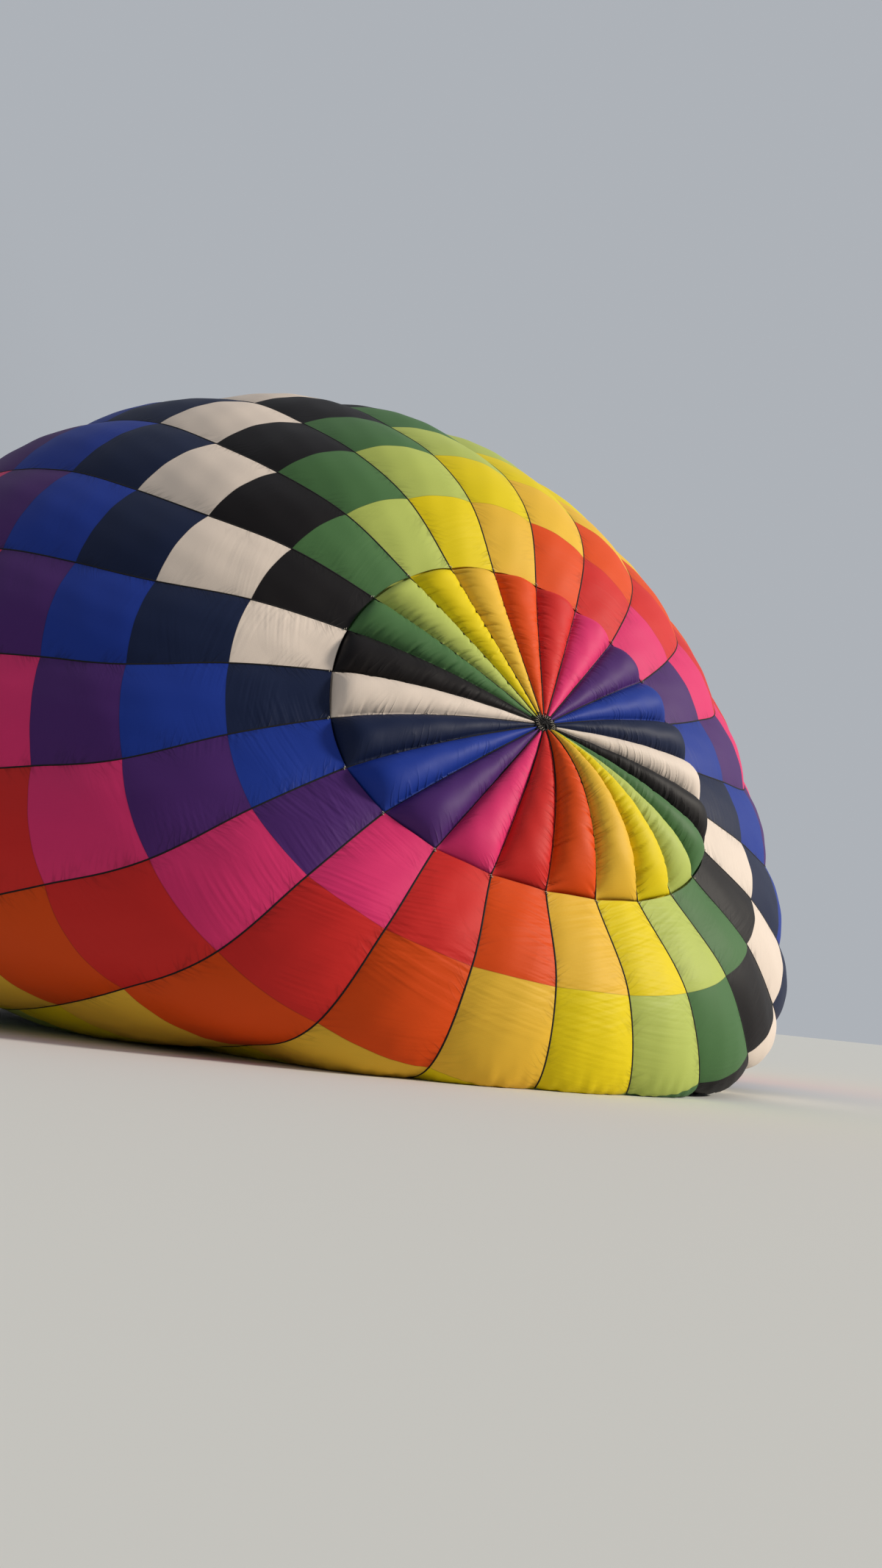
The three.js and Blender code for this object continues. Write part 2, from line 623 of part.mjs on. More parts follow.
function burnerGeometry() {
  const { can, canHeight, canWall, lift, bowl, bowlFoot } = BURNER;
  const foot = FRAME.height + lift;
  const inside = can - canWall;
  const profile = [
    [0, 0], [can * bowlFoot, 0], [can, bowl], [can, canHeight], [inside, canHeight],
    [inside, bowl + canWall], [inside * bowlFoot, 1.5 * canWall], [0, 1.5 * canWall],
  ].map(([radius, z]) => new THREE.Vector2(radius, foot + z));
  const shell = new THREE.LatheGeometry(profile, 20).rotateX(Math.PI / 2);
  const base = box(BLOCK.across, BLOCK.across, BLOCK.tall, 0, 0, FRAME.height - BLOCK.drop);
  const valve = box(VALVE.across, VALVE.across, VALVE.tall, BLOCK.across * VALVE.outward, 0, FRAME.height - VALVE.drop);
  return join(shell, base, valve);
}
for (const [name, side] of [['burner_left', -1], ['burner_right', 1]]) {
  const mesh = addMesh(gondola, name, burnerGeometry(), STEEL());
  mesh.position.y = (side * BURNER.spacing) / 2;
}

function burnerBarGeometry() {
  const z = FRAME.height;
  const gapHalf = (BURNER.spacing - BLOCK.across) / 2 - SEAT;
  const middle = box(BURNER_BAR.deep, 2 * gapHalf, BURNER_BAR.tall, 0, 0, z - BURNER_BAR.drop);
  const reach = GIMBAL.halfX + PIN.past;
  const pins = bar(new THREE.Vector3(-reach, 0, z), new THREE.Vector3(reach, 0, z), PIN.radius);
  return join(middle, pins);
}
addMesh(gondola, 'burner_bar', burnerBarGeometry(), STEEL());

// Flying wires: six from the mouth to the karabiner over each corner of the burner frame, side by side
// on the roller across its head.

gondola.updateMatrix();
const KARABINER = { halfWide: 26, long: 96, thick: 9, head: 22, pitch: 10, headPast: 8 };
const karabinerFoot = lugHole + LUG.hole - KARABINER.thick - 5 * SEAT;
const karabinerHead = karabinerFoot + KARABINER.long;
const wiresPerCorner = GORES / 4;

function karabinerGeometry(corner) {
  const [x, y] = framePlace(corner);
  const { halfWide, long, thick, head, pitch, headPast } = KARABINER;
  const outline = roundedOutline(halfWide, long / 2, halfWide - 1);
  outline.holes.push(roundedOutline(halfWide - thick, long / 2 - thick, halfWide - thick - 1, THREE.Path));
  const link = new THREE.ExtrudeGeometry(outline, { depth: thick, bevelEnabled: false, curveSegments: 3 });
  // Its foot bar passes through the lug's hole and pulls on the hole's upper edge.
  link.translate(0, long / 2, -thick / 2).rotateX(Math.PI / 2).translate(x, y, karabinerFoot);
  const roller = box(head, wiresPerCorner * pitch + headPast, head, x, y, karabinerHead);
  return join(link, roller).applyMatrix4(gondola.matrix);
}

// Each corner takes the tapes of one quarter of the mouth, counted round from the foot.
const QUARTERS = [['lower_right', 0], ['lower_left', 3], ['upper_right', 1], ['upper_left', 2]];
corners.forEach((corner, group) => {
  const [groupName, quarter] = QUARTERS[group];
  const ends = [];
  for (let tape = 0; tape < GORES; tape++) {
    const turn = turnOf(ROWS, tape);
    if (Math.floor(4 * (turn - Math.floor(turn))) !== quarter) continue;
    const hem = aboveGround(mouthRow(ROWS + SKIRT_ROWS, tape));
    ends.push(hem.addScaledVector(skinNormal(ROWS, tape), -FABRIC / 2));
  }
  ends.sort((a, b) => a.y - b.y);
  const [x, y] = framePlace(corner);
  const wires = ends.map((end, i) => {
    const along = (i - (wiresPerCorner - 1) / 2) * KARABINER.pitch;
    const hook = new THREE.Vector3(x, y + along, karabinerHead).applyMatrix4(gondola.matrix);
    const away = hook.clone().sub(end).normalize();
    return bar(end.addScaledVector(away, WIRE / 2), hook, WIRE / 2, 5);
  });
  addMesh(standing, `flying_wires_${groupName}`, join(karabinerGeometry(corner), ...wires), STEEL());
});

export default balloon;
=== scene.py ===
"""Looks of a hot air balloon lying on its side while it is filled, in metres, in the frame of the part:
+X runs along the envelope towards its crown, +Z is up, and it lies on the plane z = GROUND."""
import math

import bmesh
import bpy
import numpy as np
from mathutils import Matrix, Vector


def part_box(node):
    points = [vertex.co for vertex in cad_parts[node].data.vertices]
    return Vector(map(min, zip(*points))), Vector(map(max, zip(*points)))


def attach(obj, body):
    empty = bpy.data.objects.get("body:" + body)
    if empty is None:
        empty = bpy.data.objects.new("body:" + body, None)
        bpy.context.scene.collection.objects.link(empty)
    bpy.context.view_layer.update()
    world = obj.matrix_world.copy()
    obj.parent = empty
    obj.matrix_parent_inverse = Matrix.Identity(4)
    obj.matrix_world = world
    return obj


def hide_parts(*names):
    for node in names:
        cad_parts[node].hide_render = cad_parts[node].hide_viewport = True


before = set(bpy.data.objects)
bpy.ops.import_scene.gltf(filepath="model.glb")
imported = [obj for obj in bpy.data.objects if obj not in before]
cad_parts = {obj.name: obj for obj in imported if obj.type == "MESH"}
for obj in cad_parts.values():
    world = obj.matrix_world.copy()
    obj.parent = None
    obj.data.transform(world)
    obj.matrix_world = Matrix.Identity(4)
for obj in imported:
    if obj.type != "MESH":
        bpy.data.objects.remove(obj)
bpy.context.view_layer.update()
TURN = 2 * math.pi

# The frame's origin is the middle of the air in the envelope: its height above the ground, and how far
# behind the crown opening it lies.
AIR_HEIGHT = 6.3
AIR_BEHIND_CROWN = 6.5
GROUND = -AIR_HEIGHT

# Envelope: gores sewn from panels one fabric width tall. A tape's place round the balloon is its number.
GORES = 24
ROWS = 14
ROW_PITCH = 1.45
FOOT_TAPE = 6.66
TAPE_TWIST = -0.12

# Sections of the lying envelope at seams between rows, x from the crown opening and z from the ground.
# belly is the height of the widest point as a share of the height, square is the exponent of the rounded
# outline below and above it, and bow says how far the sides lie behind the middle.
SECTIONS = np.array([
    # row, top x, top z, foot x, foot z, half width, belly, foot square, top square, bow
    [0, -1.14, 8.09, 1.58, 2.66, 3.42, 0.39, 2.2, 2.0, 0.53],
    [1, -1.66, 9.40, 2.16, 1.36, 4.79, 0.41, 2.35, 2.0, 1.10],
    [2, -2.55, 10.47, 1.86, 0.02, 6.05, 0.43, 2.45, 2.0, 1.17],
    [3, -3.70, 11.33, 0.45, 0.00, 7.02, 0.42, 3.6, 2.0, 0.96],
    [4, -4.89, 12.08, -1.02, 0.00, 7.92, 0.41, 4.4, 2.0, 0.73],
    [5.5, -6.90, 12.60, -3.20, 0.00, 8.91, 0.42, 4.8, 2.0, 0.51],
    [7.5, -9.70, 12.20, -6.02, 0.00, 9.15, 0.43, 3.8, 2.0, 0.45],
    [10, -12.83, 10.43, -9.54, 0.00, 7.93, 0.43, 3.1, 2.0, 0.30],
    [12, -14.90, 8.16, -12.39, 0.00, 5.81, 0.45, 2.6, 2.0, 0.00],
    [14, -16.30, 5.45, -15.11, 0.20, 2.90, 0.47, 2.2, 2.0, 0.00],
])
OUTLINE_STEPS = 960

# Gores: how far the cloth stands out between two tapes, and the low crown on each panel. The columns are
# partly even, and partly drawn together towards the tapes.
STEPS_PER_ROW, GORE_COLUMNS, GORE_EVEN = 20, 30, 0.6
GORE_BULGE, PANEL_CROWN, PANEL_CROWN_POWER = 0.10, 0.014, 0.7
# It stands out by this share at the crown, and grows by one in so many rows from there and from the mouth.
CROWN_BULGE, BULGE_ROWS = 0.35, (3, 2)
# Each gore's cloth starts this much further along the pattern of its material than the one before.
GORE_SHIFT = 3.1
# The gore whose cloth the ground drags most, low on the side towards the camera.
DRAGGED_GORE, LEAST_DRAG = 4.5, 0.3
# Waves of slack cloth: height, wavelengths in metres, slants in radians, and the first seed. The last two
# are gathers in what lies on the ground, which fade over GATHER_REACH above it, and waves on the vent.
SLACK = (0.012, [1.7, 1.1, 0.74, 0.52], [0.5, -0.7, 1.2, 0.2], 40)
GATHERS = (0.045, [0.42, 0.29, 0.21, 0.16], [0.3, 1.5, 2.3, 0.9], 90)
GATHER_REACH = 0.16
VENT_SLACK = (0.008, [0.9, 0.5, 0.33], [0.4, 1.2, -0.6], 7)

# Tapes: the width of the load tapes and of those that cross the vent, and how thick and proud they are.
TAPE_WIDTH, CROWN_TAPE_WIDTH = 0.024, 0.018
TAPE_THICK, TAPE_PROUD, CROWN_TAPE_PROUD = 0.003, 0.006, 0.002

# Crown: a shallow dome over the opening, its edge gathered by the tapes. The tapes billow out half way to
# the edge, most at BILLOW_TAPE.
CROWN_RISE = 0.30
BILLOW, BILLOW_TAPE, BILLOW_POWER = 0.46, 7.5, 12
RING = {"outer": 0.170, "inner": 0.095, "thick": 0.014, "half_wide": 0.015}

# Vent: cut wider than its opening, so that it swells into lobes between the crown tapes, which it leaves
# TAPE_CLEAR on either side. VENT_START is the share of the way to the edge at which its cloth starts.
VENT_START, VENT_LAP_ROWS, VENT_FULLNESS = 0.05, 0.2, 1.14
VENT_COLUMNS, VENT_EVEN, VENT_LINES, VENT_SPREAD = 16, 0.5, 226, 0.94
VENT_UNDER, TAPE_CLEAR = 0.006, 0.013
# A lobe's height as a share of its width is greatest at ROUNDEST and again at STOUT. Its end rolls down
# over a share of its length that is greatest at FULLEST, along a rounded curve with the exponent
# LOBE_ROLL, and LOBE_SINK below the edge. Each is a place round the balloon and a power for near().
LOBE_RATIO, STOUT_RATIO, LOBE_END = (0.25, 0.50), 0.14, (0.09, 0.36)
LOBE_ROLL, LOBE_SINK = 2.5, 0.13
# The exponent of a lobe's arc, and how much rounder the fullest lobe is.
ARC_POWER, ARC_ROUNDER = 0.62, 0.10
FULLEST, ROUNDEST, STOUT = (8.0, 2), (11.0, 4), (2.5, 12)
# Two sets of dimples beside the tapes: spacing, width, share of DIMPLE_DEPTH, and seed.
DIMPLES = ((0.27, 0.021, 1.0, 5), (0.14, 0.018, 0.4, 6))
DIMPLE_DEPTH, DIMPLE_OFF_TAPE, DIMPLE_LEAN = 0.140, 0.055, 0.6
# They reach their depth this far from the middle of the vent. The least share of it on any lobe, and the
# least away from DIMPLED, a place and a power for near().
DIMPLES_FULL, LEAST_ON_LOBE, LEAST_AWAY, DIMPLED = 2.4, 0.3, 0.10, (8.3, 1.6)
# How far the vent's hem lies under the gores: at the opening's edge, and more for each row.
HEM_UNDER, HEM_DROP = 0.02, 0.25

# The camera of the photograph: its place from the crown opening on the ground, its angles in degrees,
# and the focal length of the long side in pixels of the frame.
CAMERA = {"x": 16.05, "y": -10.71, "z": 1.10, "yaw": 150.22, "pitch": 9.45, "roll": 5.91}
FOCAL_PIXELS = 1723
FRAME_PIXELS = (1200, 2133)
SENSOR_MM = 36

# Colours of the cloths round the balloon, twice round, starting left of the crown in the photograph.
CLOTHS = [
    ("white", "#e0d0c2"), ("navy", "#0c1a3b"), ("blue", "#14328e"), ("purple", "#472066"),
    ("pink", "#d92f6b"), ("red", "#cd2622"), ("orange", "#d94804"), ("gold", "#e3b435"),
    ("yellow", "#dfc703"), ("light_green", "#b0bc5d"), ("dark_green", "#466d3f"), ("black", "#100b0d"),
]


def linear(hex_colour):
    """sRGB hex to linear: the inverse of the sRGB curve, channel by channel."""
    channels = [int(hex_colour[i:i + 2], 16) / 255 for i in (1, 3, 5)]
    return tuple(c / 12.92 if c <= 0.04045 else ((c + 0.055) / 1.055) ** 2.4 for c in channels)


def from_crown(points):
    """From places measured at the crown opening and the ground to the part's frame."""
    return np.asarray(points, float) + (AIR_BEHIND_CROWN, 0.0, -AIR_HEIGHT)


# Meshes

def mesh_object(name, points, faces, materials, face_materials=None, uv=None):
    """A smooth object at the origin from points and faces. uv holds one pair of metres for each point."""
    mesh = bpy.data.meshes.new(name)
    faces = faces.tolist() if isinstance(faces, np.ndarray) else faces
    mesh.from_pydata(np.reshape(points, (-1, 3)).tolist(), [], faces)
    for material in materials:
        mesh.materials.append(material)
    if face_materials is not None:
        mesh.polygons.foreach_set("material_index", np.asarray(face_materials, np.int32))
    mesh.polygons.foreach_set("use_smooth", np.full(len(mesh.polygons), True))
    if uv is not None:
        corner = np.empty(len(mesh.loops), np.int32)
        mesh.loops.foreach_get("vertex_index", corner)
        layer = mesh.uv_layers.new(name="cloth")
        layer.uv.foreach_set("vector", np.asarray(uv, np.float32).reshape(-1, 2)[corner].ravel())
    mesh.update()
    piece = bpy.data.objects.new(name, mesh)
    bpy.context.collection.objects.link(piece)
    return piece


def declare(piece, body, slot, *replaced):
    """Says which body a piece rides and hides the CAD nodes that it stands for. slot, the slot of its
    material, is not used.
    """
    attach(piece, body)
    if replaced:
        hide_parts(*replaced)
    return piece


def close_up(piece):
    """Welds seams and poles, leaves out unused points and turns the faces of closed shapes outwards."""
    shape = bmesh.new()
    shape.from_mesh(piece.data)
    bmesh.ops.delete(shape, geom=[vert for vert in shape.verts if not vert.link_faces], context="VERTS")
    bmesh.ops.remove_doubles(shape, verts=shape.verts, dist=1e-5)
    bmesh.ops.recalc_face_normals(shape, faces=shape.faces)
    shape.to_mesh(piece.data)
    shape.free()
    return piece


def grid_faces(lines, columns, close=False):
    """Quads of a grid of points, lines by columns, closed round the columns or not."""
    i = np.arange(lines - 1)[:, None]
    j = np.arange(columns if close else columns - 1)[None, :]
    k = (j + 1) % columns
    quads = np.stack([i * columns + j, (i + 1) * columns + j, (i + 1) * columns + k, i * columns + k], -1)
    return quads.reshape(-1, 4)


def point_attributes(piece, **values):
    """One number for each point under each name, for a material to read."""
    for name, numbers in values.items():
        attribute = piece.data.attributes.new(name, "FLOAT", "POINT")
        attribute.data.foreach_set("value", np.asarray(numbers, np.float32).ravel())


def unit(vectors):
    """Directions of vectors."""
    return vectors / np.maximum(np.linalg.norm(vectors, axis=-1, keepdims=True), 1e-12)


def near(places, middle, power, period=GORES):
    """A swell round the balloon: 1 at the middle, 0 across from it, narrower with a greater power."""
    return (0.5 + 0.5 * np.cos(TURN * (places - middle) / period)) ** power


# The lying envelope as a surface over (row, tape)

def columns_at(rows):
    """The section table's columns at any rows: a cubic through its values, whose slope at each value is
    the mean of its two neighbours' slopes, each weighted by the other's step."""
    knots, values = SECTIONS[:, 0], SECTIONS[:, 1:]
    step = np.diff(knots)[:, None]
    slope = np.diff(values, axis=0) / step
    inner = (slope[:-1] * step[1:] + slope[1:] * step[:-1]) / (step[:-1] + step[1:])
    tangent = np.vstack([slope[:1], inner, slope[-1:]])
    i = np.clip(np.searchsorted(knots, rows) - 1, 0, len(knots) - 2)
    h = step[i]
    s = (rows - knots[i])[:, None] / h
    return ((2 * s**3 - 3 * s**2 + 1) * values[i] + (s**3 - 2 * s**2 + s) * h * tangent[i]
            + (3 * s**2 - 2 * s**3) * values[i + 1] + (s**3 - s**2) * h * tangent[i + 1])


def outlines(rows):
    """Closed outlines at the rows and the share of their length at each point, from the foot: a rounded
    curve with side = |sin|^(2/n) and rise = |cos|^(2/n), n being square, its sides drawn back by bow."""
    columns = columns_at(rows).T[..., None]
    top_x, top_z, foot_x, foot_z, half, belly, foot_square, top_square, bow = columns
    angle = np.linspace(0, TURN, OUTLINE_STEPS + 1)
    sine, cosine = np.sin(angle), np.cos(angle)
    power = 2 / np.where(cosine > 0, foot_square, top_square)
    side = np.sign(sine) * np.abs(sine) ** power
    rise = np.abs(cosine) ** power
    height = np.where(cosine > 0, belly * (1 - rise), belly + (1 - belly) * rise)
    points = np.stack([foot_x + (top_x - foot_x) * height - bow * side**2, half * side,
                       foot_z + (top_z - foot_z) * height], -1)
    lengths = np.cumsum(np.linalg.norm(np.diff(points, axis=1), axis=-1), axis=1)
    lengths = np.hstack([np.zeros((len(rows), 1)), lengths])
    return points, lengths / lengths[:, -1:], lengths[:, -1]


def skin(rows, tapes):
    """Points of the smooth envelope, a line for each row: tapes lie at equal shares of each outline's
    length and wind round it by TAPE_TWIST a row."""
    rows, tapes = np.atleast_1d(rows).astype(float), np.atleast_1d(tapes).astype(float)
    points, shares, _ = outlines(rows)
    turn = (tapes[None, :] - FOOT_TAPE - TAPE_TWIST * rows[:, None]) / GORES
    turn -= np.floor(turn)
    line = 2.0 * np.arange(len(rows))[:, None]
    wanted, along = turn + line, (shares + line).ravel()
    found = [np.interp(wanted, along, points[..., axis].ravel()) for axis in range(3)]
    return from_crown(np.stack(found, -1))


def surface_normals(points):
    """Outward directions of a grid whose lines run from the crown to the mouth."""
    return unit(np.cross(np.gradient(points, axis=0), np.gradient(points, axis=1)))


def skin_normals(rows, tapes, reach=0.02):
    """Outward directions of the smooth envelope, from differences either way."""
    along = skin(np.clip(rows + reach, 0, ROWS), tapes) - skin(np.clip(rows - reach, 0, ROWS), tapes)
    return unit(np.cross(along, skin(rows, tapes + reach) - skin(rows, tapes - reach)))


def on_ground(points, lift=0.004):
    """What would be in the ground lies on it."""
    points[..., 2] = np.maximum(points[..., 2], GROUND + lift)
    return points


def ripples(u, v, waves, number=0):
    """A sum of plane waves over u and v in metres: one for each wavelength and slant, with phases that are
    set by the first seed and the number of the piece."""
    height, lengths, slants, seed = waves
    phases = np.random.RandomState(seed + number).uniform(0, TURN, len(lengths))
    total = np.zeros(np.broadcast(u, v).shape)
    for length, slant, phase in zip(lengths, slants, phases):
        total += np.sin(TURN * (u * math.cos(slant) + v * math.sin(slant)) / length + phase)
    return height * total / len(lengths)


# Materials

def add(tree, kind, settings=None, **inputs):
    """Adds a node with its settings. An input given as a node, by its first output, or as a socket is
    linked, and any other value is set."""
    node = tree.nodes.new(kind)
    for name, value in (settings or {}).items():
        setattr(node, name, value)
    for name, value in inputs.items():
        socket = node.inputs[int(name[1:]) if name[1:].isdigit() else name.replace("_", " ")]
        if isinstance(value, bpy.types.Node):
            value = value.outputs[0]
        if isinstance(value, bpy.types.NodeSocket):
            tree.links.new(value, socket)
        else:
            socket.default_value = value
    return node


# The kinds of node that materials are made of, and the settings of a Math node for each sum.
NOISE, VORONOI, CHECKER, WAVE = (f"ShaderNodeTex{name}" for name in ("Noise", "Voronoi", "Checker", "Wave"))
MATH, RANGE, MAPPING, VECTOR_MATH, PLACES, ATTRIBUTE, BUMP, UV_MAP = (
    f"ShaderNode{name}"
    for name in ("Math", "MapRange", "Mapping", "VectorMath", "TexCoord", "Attribute", "Bump", "UVMap"))
TIMES, TIMES_PLUS, PLUS, MINUS, PINGPONG, BELOW, LARGER, POWER, EXPONENT, SIZE, SMALLER, SCALE, DOT = (
    {"operation": name} for name in (
        "MULTIPLY", "MULTIPLY_ADD", "ADD", "SUBTRACT", "PINGPONG", "LESS_THAN", "MAXIMUM", "POWER",
        "EXPONENT", "ABSOLUTE", "MINIMUM", "SCALE", "DOT_PRODUCT"))


def new_material(name, **inputs):
    """A material with one Principled shader, whose uniform values are set on its sockets."""
    material = bpy.data.materials.new(name)
    material.use_nodes = True
    tree = material.node_tree
    shader = next(node for node in tree.nodes if node.type == "BSDF_PRINCIPLED")
    for key, value in inputs.items():
        shader.inputs[key.replace("_", " ")].default_value = value
    return material, tree, shader


def patterned(name, hex_colour, roughness, repeats, spread, bump=0.0, depth=0.002, kind=NOISE, detail=2.0,
              **inputs):
    """A material whose colour and height follow one texture on Object coordinates, with so many repeats
    a metre along each axis. spread is how much lighter and darker it makes the colour."""
    material, tree, shader = new_material(name, Roughness=roughness, **inputs)
    place = add(tree, MAPPING, Vector=add(tree, PLACES).outputs["Object"], Scale=repeats)
    values = {"Detail": detail} if kind == NOISE else {}
    pattern = add(tree, kind, Vector=place, Scale=1.0, **values)
    tone = add(tree, RANGE, Value=pattern, To_Min=1 - spread, To_Max=1 + spread)
    colour = add(tree, VECTOR_MATH, SCALE, Vector=linear(hex_colour), Scale=tone)
    tree.links.new(colour.outputs[0], shader.inputs["Base Color"])
    if bump:
        relief = add(tree, BUMP, Strength=bump, Distance=depth, Height=pattern)
        tree.links.new(relief.outputs["Normal"], shader.inputs["Normal"])
    return material


RIPSTOP_PITCH, THREAD_SHARE, THREAD_HEIGHT = 0.024, 0.06, 0.0002
SEAM_HALF_ROWS = 0.006
# What the attribute rows says on the vent: at its middle, and from HUB_REACH metres out to its edge.
HUB_ROWS, VENT_ROWS, HUB_START, HUB_REACH = -0.9, -0.5, 0.2, 1.5
# Creases: how far they lean, repeats a metre along, from and across the tape, how sharp a ridge is, and how
# fast it fades with each metre from the tape on the vent and on the gores. Patches of creases and of folds
# grow from none to full between two values of a noise.
CREASE_LEAN, CREASE_REPEATS, CREASE_SHARP = 0.6, (9.0, 2.0, 0.7), 9.0
CREASE_FADES, CREASE_PATCHES, FOLD_PATCHES = (-13.0, -8.0), (0.42, 0.60), (0.46, 0.64)
# Heights of the creases on the vent and on the gores. The drag folds' height is the smaller of a rise from
# the vent to the first row of panels and a fall down to the third row.
CREASE_HEIGHTS, FOLD_RISE, FOLD_FALL = (0.034, 0.007), (0.003, 0.060), (0.038, 0.007)
# Drag folds are this long and wide, and lean by these angles in degrees, each lot in a place of its own.
FOLD_SIZE, FOLD_LEANS, FOLD_SHIFT = (1.5, 0.085, 1.0), (8, -14), 31.0


def cloth_material(name, hex_colour):
    """Coated ripstop nylon: a satin film over a fine weave, so broad soft highlights, short creases that
    stand off the sewn tapes in places, and long drag folds across the panels near the crown. The real
    6 mm ripstop squares are drawn at 24 mm, coarse enough to show. The attribute from_tape is the
    distance to the nearest tape, drag is a share for the folds, and rows counts the panels from the crown
    opening, below zero on the vent, whose creases are deeper."""
    material, tree, shader = new_material(f"ripstop_nylon_{name}", Roughness=0.58, Specular_IOR_Level=0.20)
    cloth = add(tree, UV_MAP, {"uv_map": "cloth"}).outputs["UV"]
    parts = add(tree, "ShaderNodeSeparateXYZ", Vector=cloth)
    across, along = parts.outputs["X"], parts.outputs["Y"]
    from_tape, rows, drag = (add(tree, ATTRIBUTE, {"attribute_name": attribute}).outputs["Fac"]
                             for attribute in ("from_tape", "rows", "drag"))

    # Creases: thin ridges of a noise drawn out across the tape, that lean and fade away from it, and are
    # calm in the middle of the vent.
    lean = add(tree, MATH, TIMES_PLUS, i0=from_tape, i1=CREASE_LEAN, i2=along)
    place = add(tree, "ShaderNodeCombineXYZ", X=add(tree, MATH, TIMES, i0=lean, i1=CREASE_REPEATS[0]),
                Y=add(tree, MATH, TIMES, i0=from_tape, i1=CREASE_REPEATS[1]),
                Z=add(tree, MATH, TIMES, i0=across, i1=CREASE_REPEATS[2]))
    gather = add(tree, NOISE, Vector=place, Scale=1.0, Detail=1.0, Roughness=0.5)
    middle = add(tree, MATH, SIZE, i0=add(tree, MATH, TIMES_PLUS, i0=gather, i1=2.0, i2=-1.0))
    ridge = add(tree, MATH, POWER, i0=add(tree, MATH, MINUS, i0=1.0, i1=middle), i1=CREASE_SHARP)
    reach = add(tree, RANGE, Value=rows, From_Min=VENT_ROWS, From_Max=0.0, To_Min=CREASE_FADES[0],
                To_Max=CREASE_FADES[1])
    fade = add(tree, MATH, EXPONENT, i0=add(tree, MATH, TIMES, i0=from_tape, i1=reach))
    gathered = add(tree, RANGE, Value=add(tree, NOISE, Vector=cloth, Scale=2.1, Detail=0.0),
                   From_Min=CREASE_PATCHES[0], From_Max=CREASE_PATCHES[1], To_Min=0.15)
    calm = add(tree, RANGE, Value=rows, From_Min=HUB_ROWS, From_Max=VENT_ROWS, To_Min=0.05)
    patches = add(tree, MATH, TIMES, i0=gathered, i1=calm)
    crease = add(tree, MATH, TIMES, i0=add(tree, MATH, TIMES, i0=ridge, i1=fade), i1=patches)
    strong = add(tree, RANGE, Value=rows, From_Min=VENT_ROWS, From_Max=0.4, To_Min=CREASE_HEIGHTS[0],
                 To_Max=CREASE_HEIGHTS[1])
    heights = [add(tree, MATH, TIMES, i0=crease, i1=strong)]

    # Drag folds: streaks across the panels that lean one way or the other, in patches of their own.
    rising = add(tree, RANGE, Value=rows, From_Min=-0.4, To_Min=FOLD_RISE[0], To_Max=FOLD_RISE[1])
    falling = add(tree, RANGE, Value=rows, From_Min=0.0, From_Max=2.2, To_Min=FOLD_FALL[0],
                  To_Max=FOLD_FALL[1])
    pull = add(tree, MATH, TIMES, i0=add(tree, MATH, SMALLER, i0=rising, i1=falling), i1=drag)
    for count, degrees in enumerate(FOLD_LEANS):
        shift = (count * FOLD_SHIFT, 0, 0)
        slanted = add(tree, MAPPING, {"vector_type": "TEXTURE"}, Vector=cloth, Location=shift,
                      Rotation=(0, 0, math.radians(degrees)), Scale=FOLD_SIZE)
        streaks = add(tree, NOISE, Vector=slanted, Scale=1.0, Detail=1.0)
        elsewhere = add(tree, MAPPING, Vector=cloth, Location=shift, Scale=(0.75, 0.9, 1.0))
        where = add(tree, RANGE, Value=add(tree, NOISE, Vector=elsewhere, Scale=1.0, Detail=0.0),
                    From_Min=FOLD_PATCHES[0], From_Max=FOLD_PATCHES[1])
        heights.append(add(tree, MATH, TIMES, i0=streaks, i1=add(tree, MATH, TIMES, i0=where, i1=pull)))

    # Ripstop squares: the larger of two sharp waves.
    threads = [add(tree, MATH, BELOW, i0=add(tree, MATH, PINGPONG, i0=coordinate, i1=RIPSTOP_PITCH / 2),
                   i1=RIPSTOP_PITCH * THREAD_SHARE) for coordinate in (across, along)]
    thread = add(tree, MATH, LARGER, i0=threads[0], i1=threads[1])
    heights.append(add(tree, MATH, TIMES, i0=thread, i1=THREAD_HEIGHT))

    height = heights[0]
    for layer in heights[1:]:
        height = add(tree, MATH, PLUS, i0=height, i1=layer)
    bump = add(tree, BUMP, Strength=0.7, Distance=1.0, Height=height)
    tree.links.new(bump.outputs["Normal"], shader.inputs["Normal"])

    # The felled seam between two rows is four layers thick, so it reads a little darker. Along the creases
    # the colour is darkened too: painted shade in the folds.
    seam = add(tree, MATH, BELOW, i0=add(tree, MATH, PINGPONG, i0=rows, i1=0.5), i1=SEAM_HALF_ROWS)
    shade = add(tree, RANGE, Value=add(tree, NOISE, Vector=cloth, Scale=0.35, Detail=3.0), To_Min=0.93,
                To_Max=1.07)
    # The crease term is painted shade: it darkens the colour where the cloth folds.
    for mark, tone in ((seam, -0.22), (thread, 0.05), (crease, -0.45)):
        shade = add(tree, MATH, TIMES, i0=shade, i1=add(tree, MATH, TIMES_PLUS, i0=mark, i1=tone, i2=1.0))
    colour = add(tree, VECTOR_MATH, SCALE, Vector=linear(hex_colour), Scale=shade)
    tree.links.new(colour.outputs[0], shader.inputs["Base Color"])
    return material


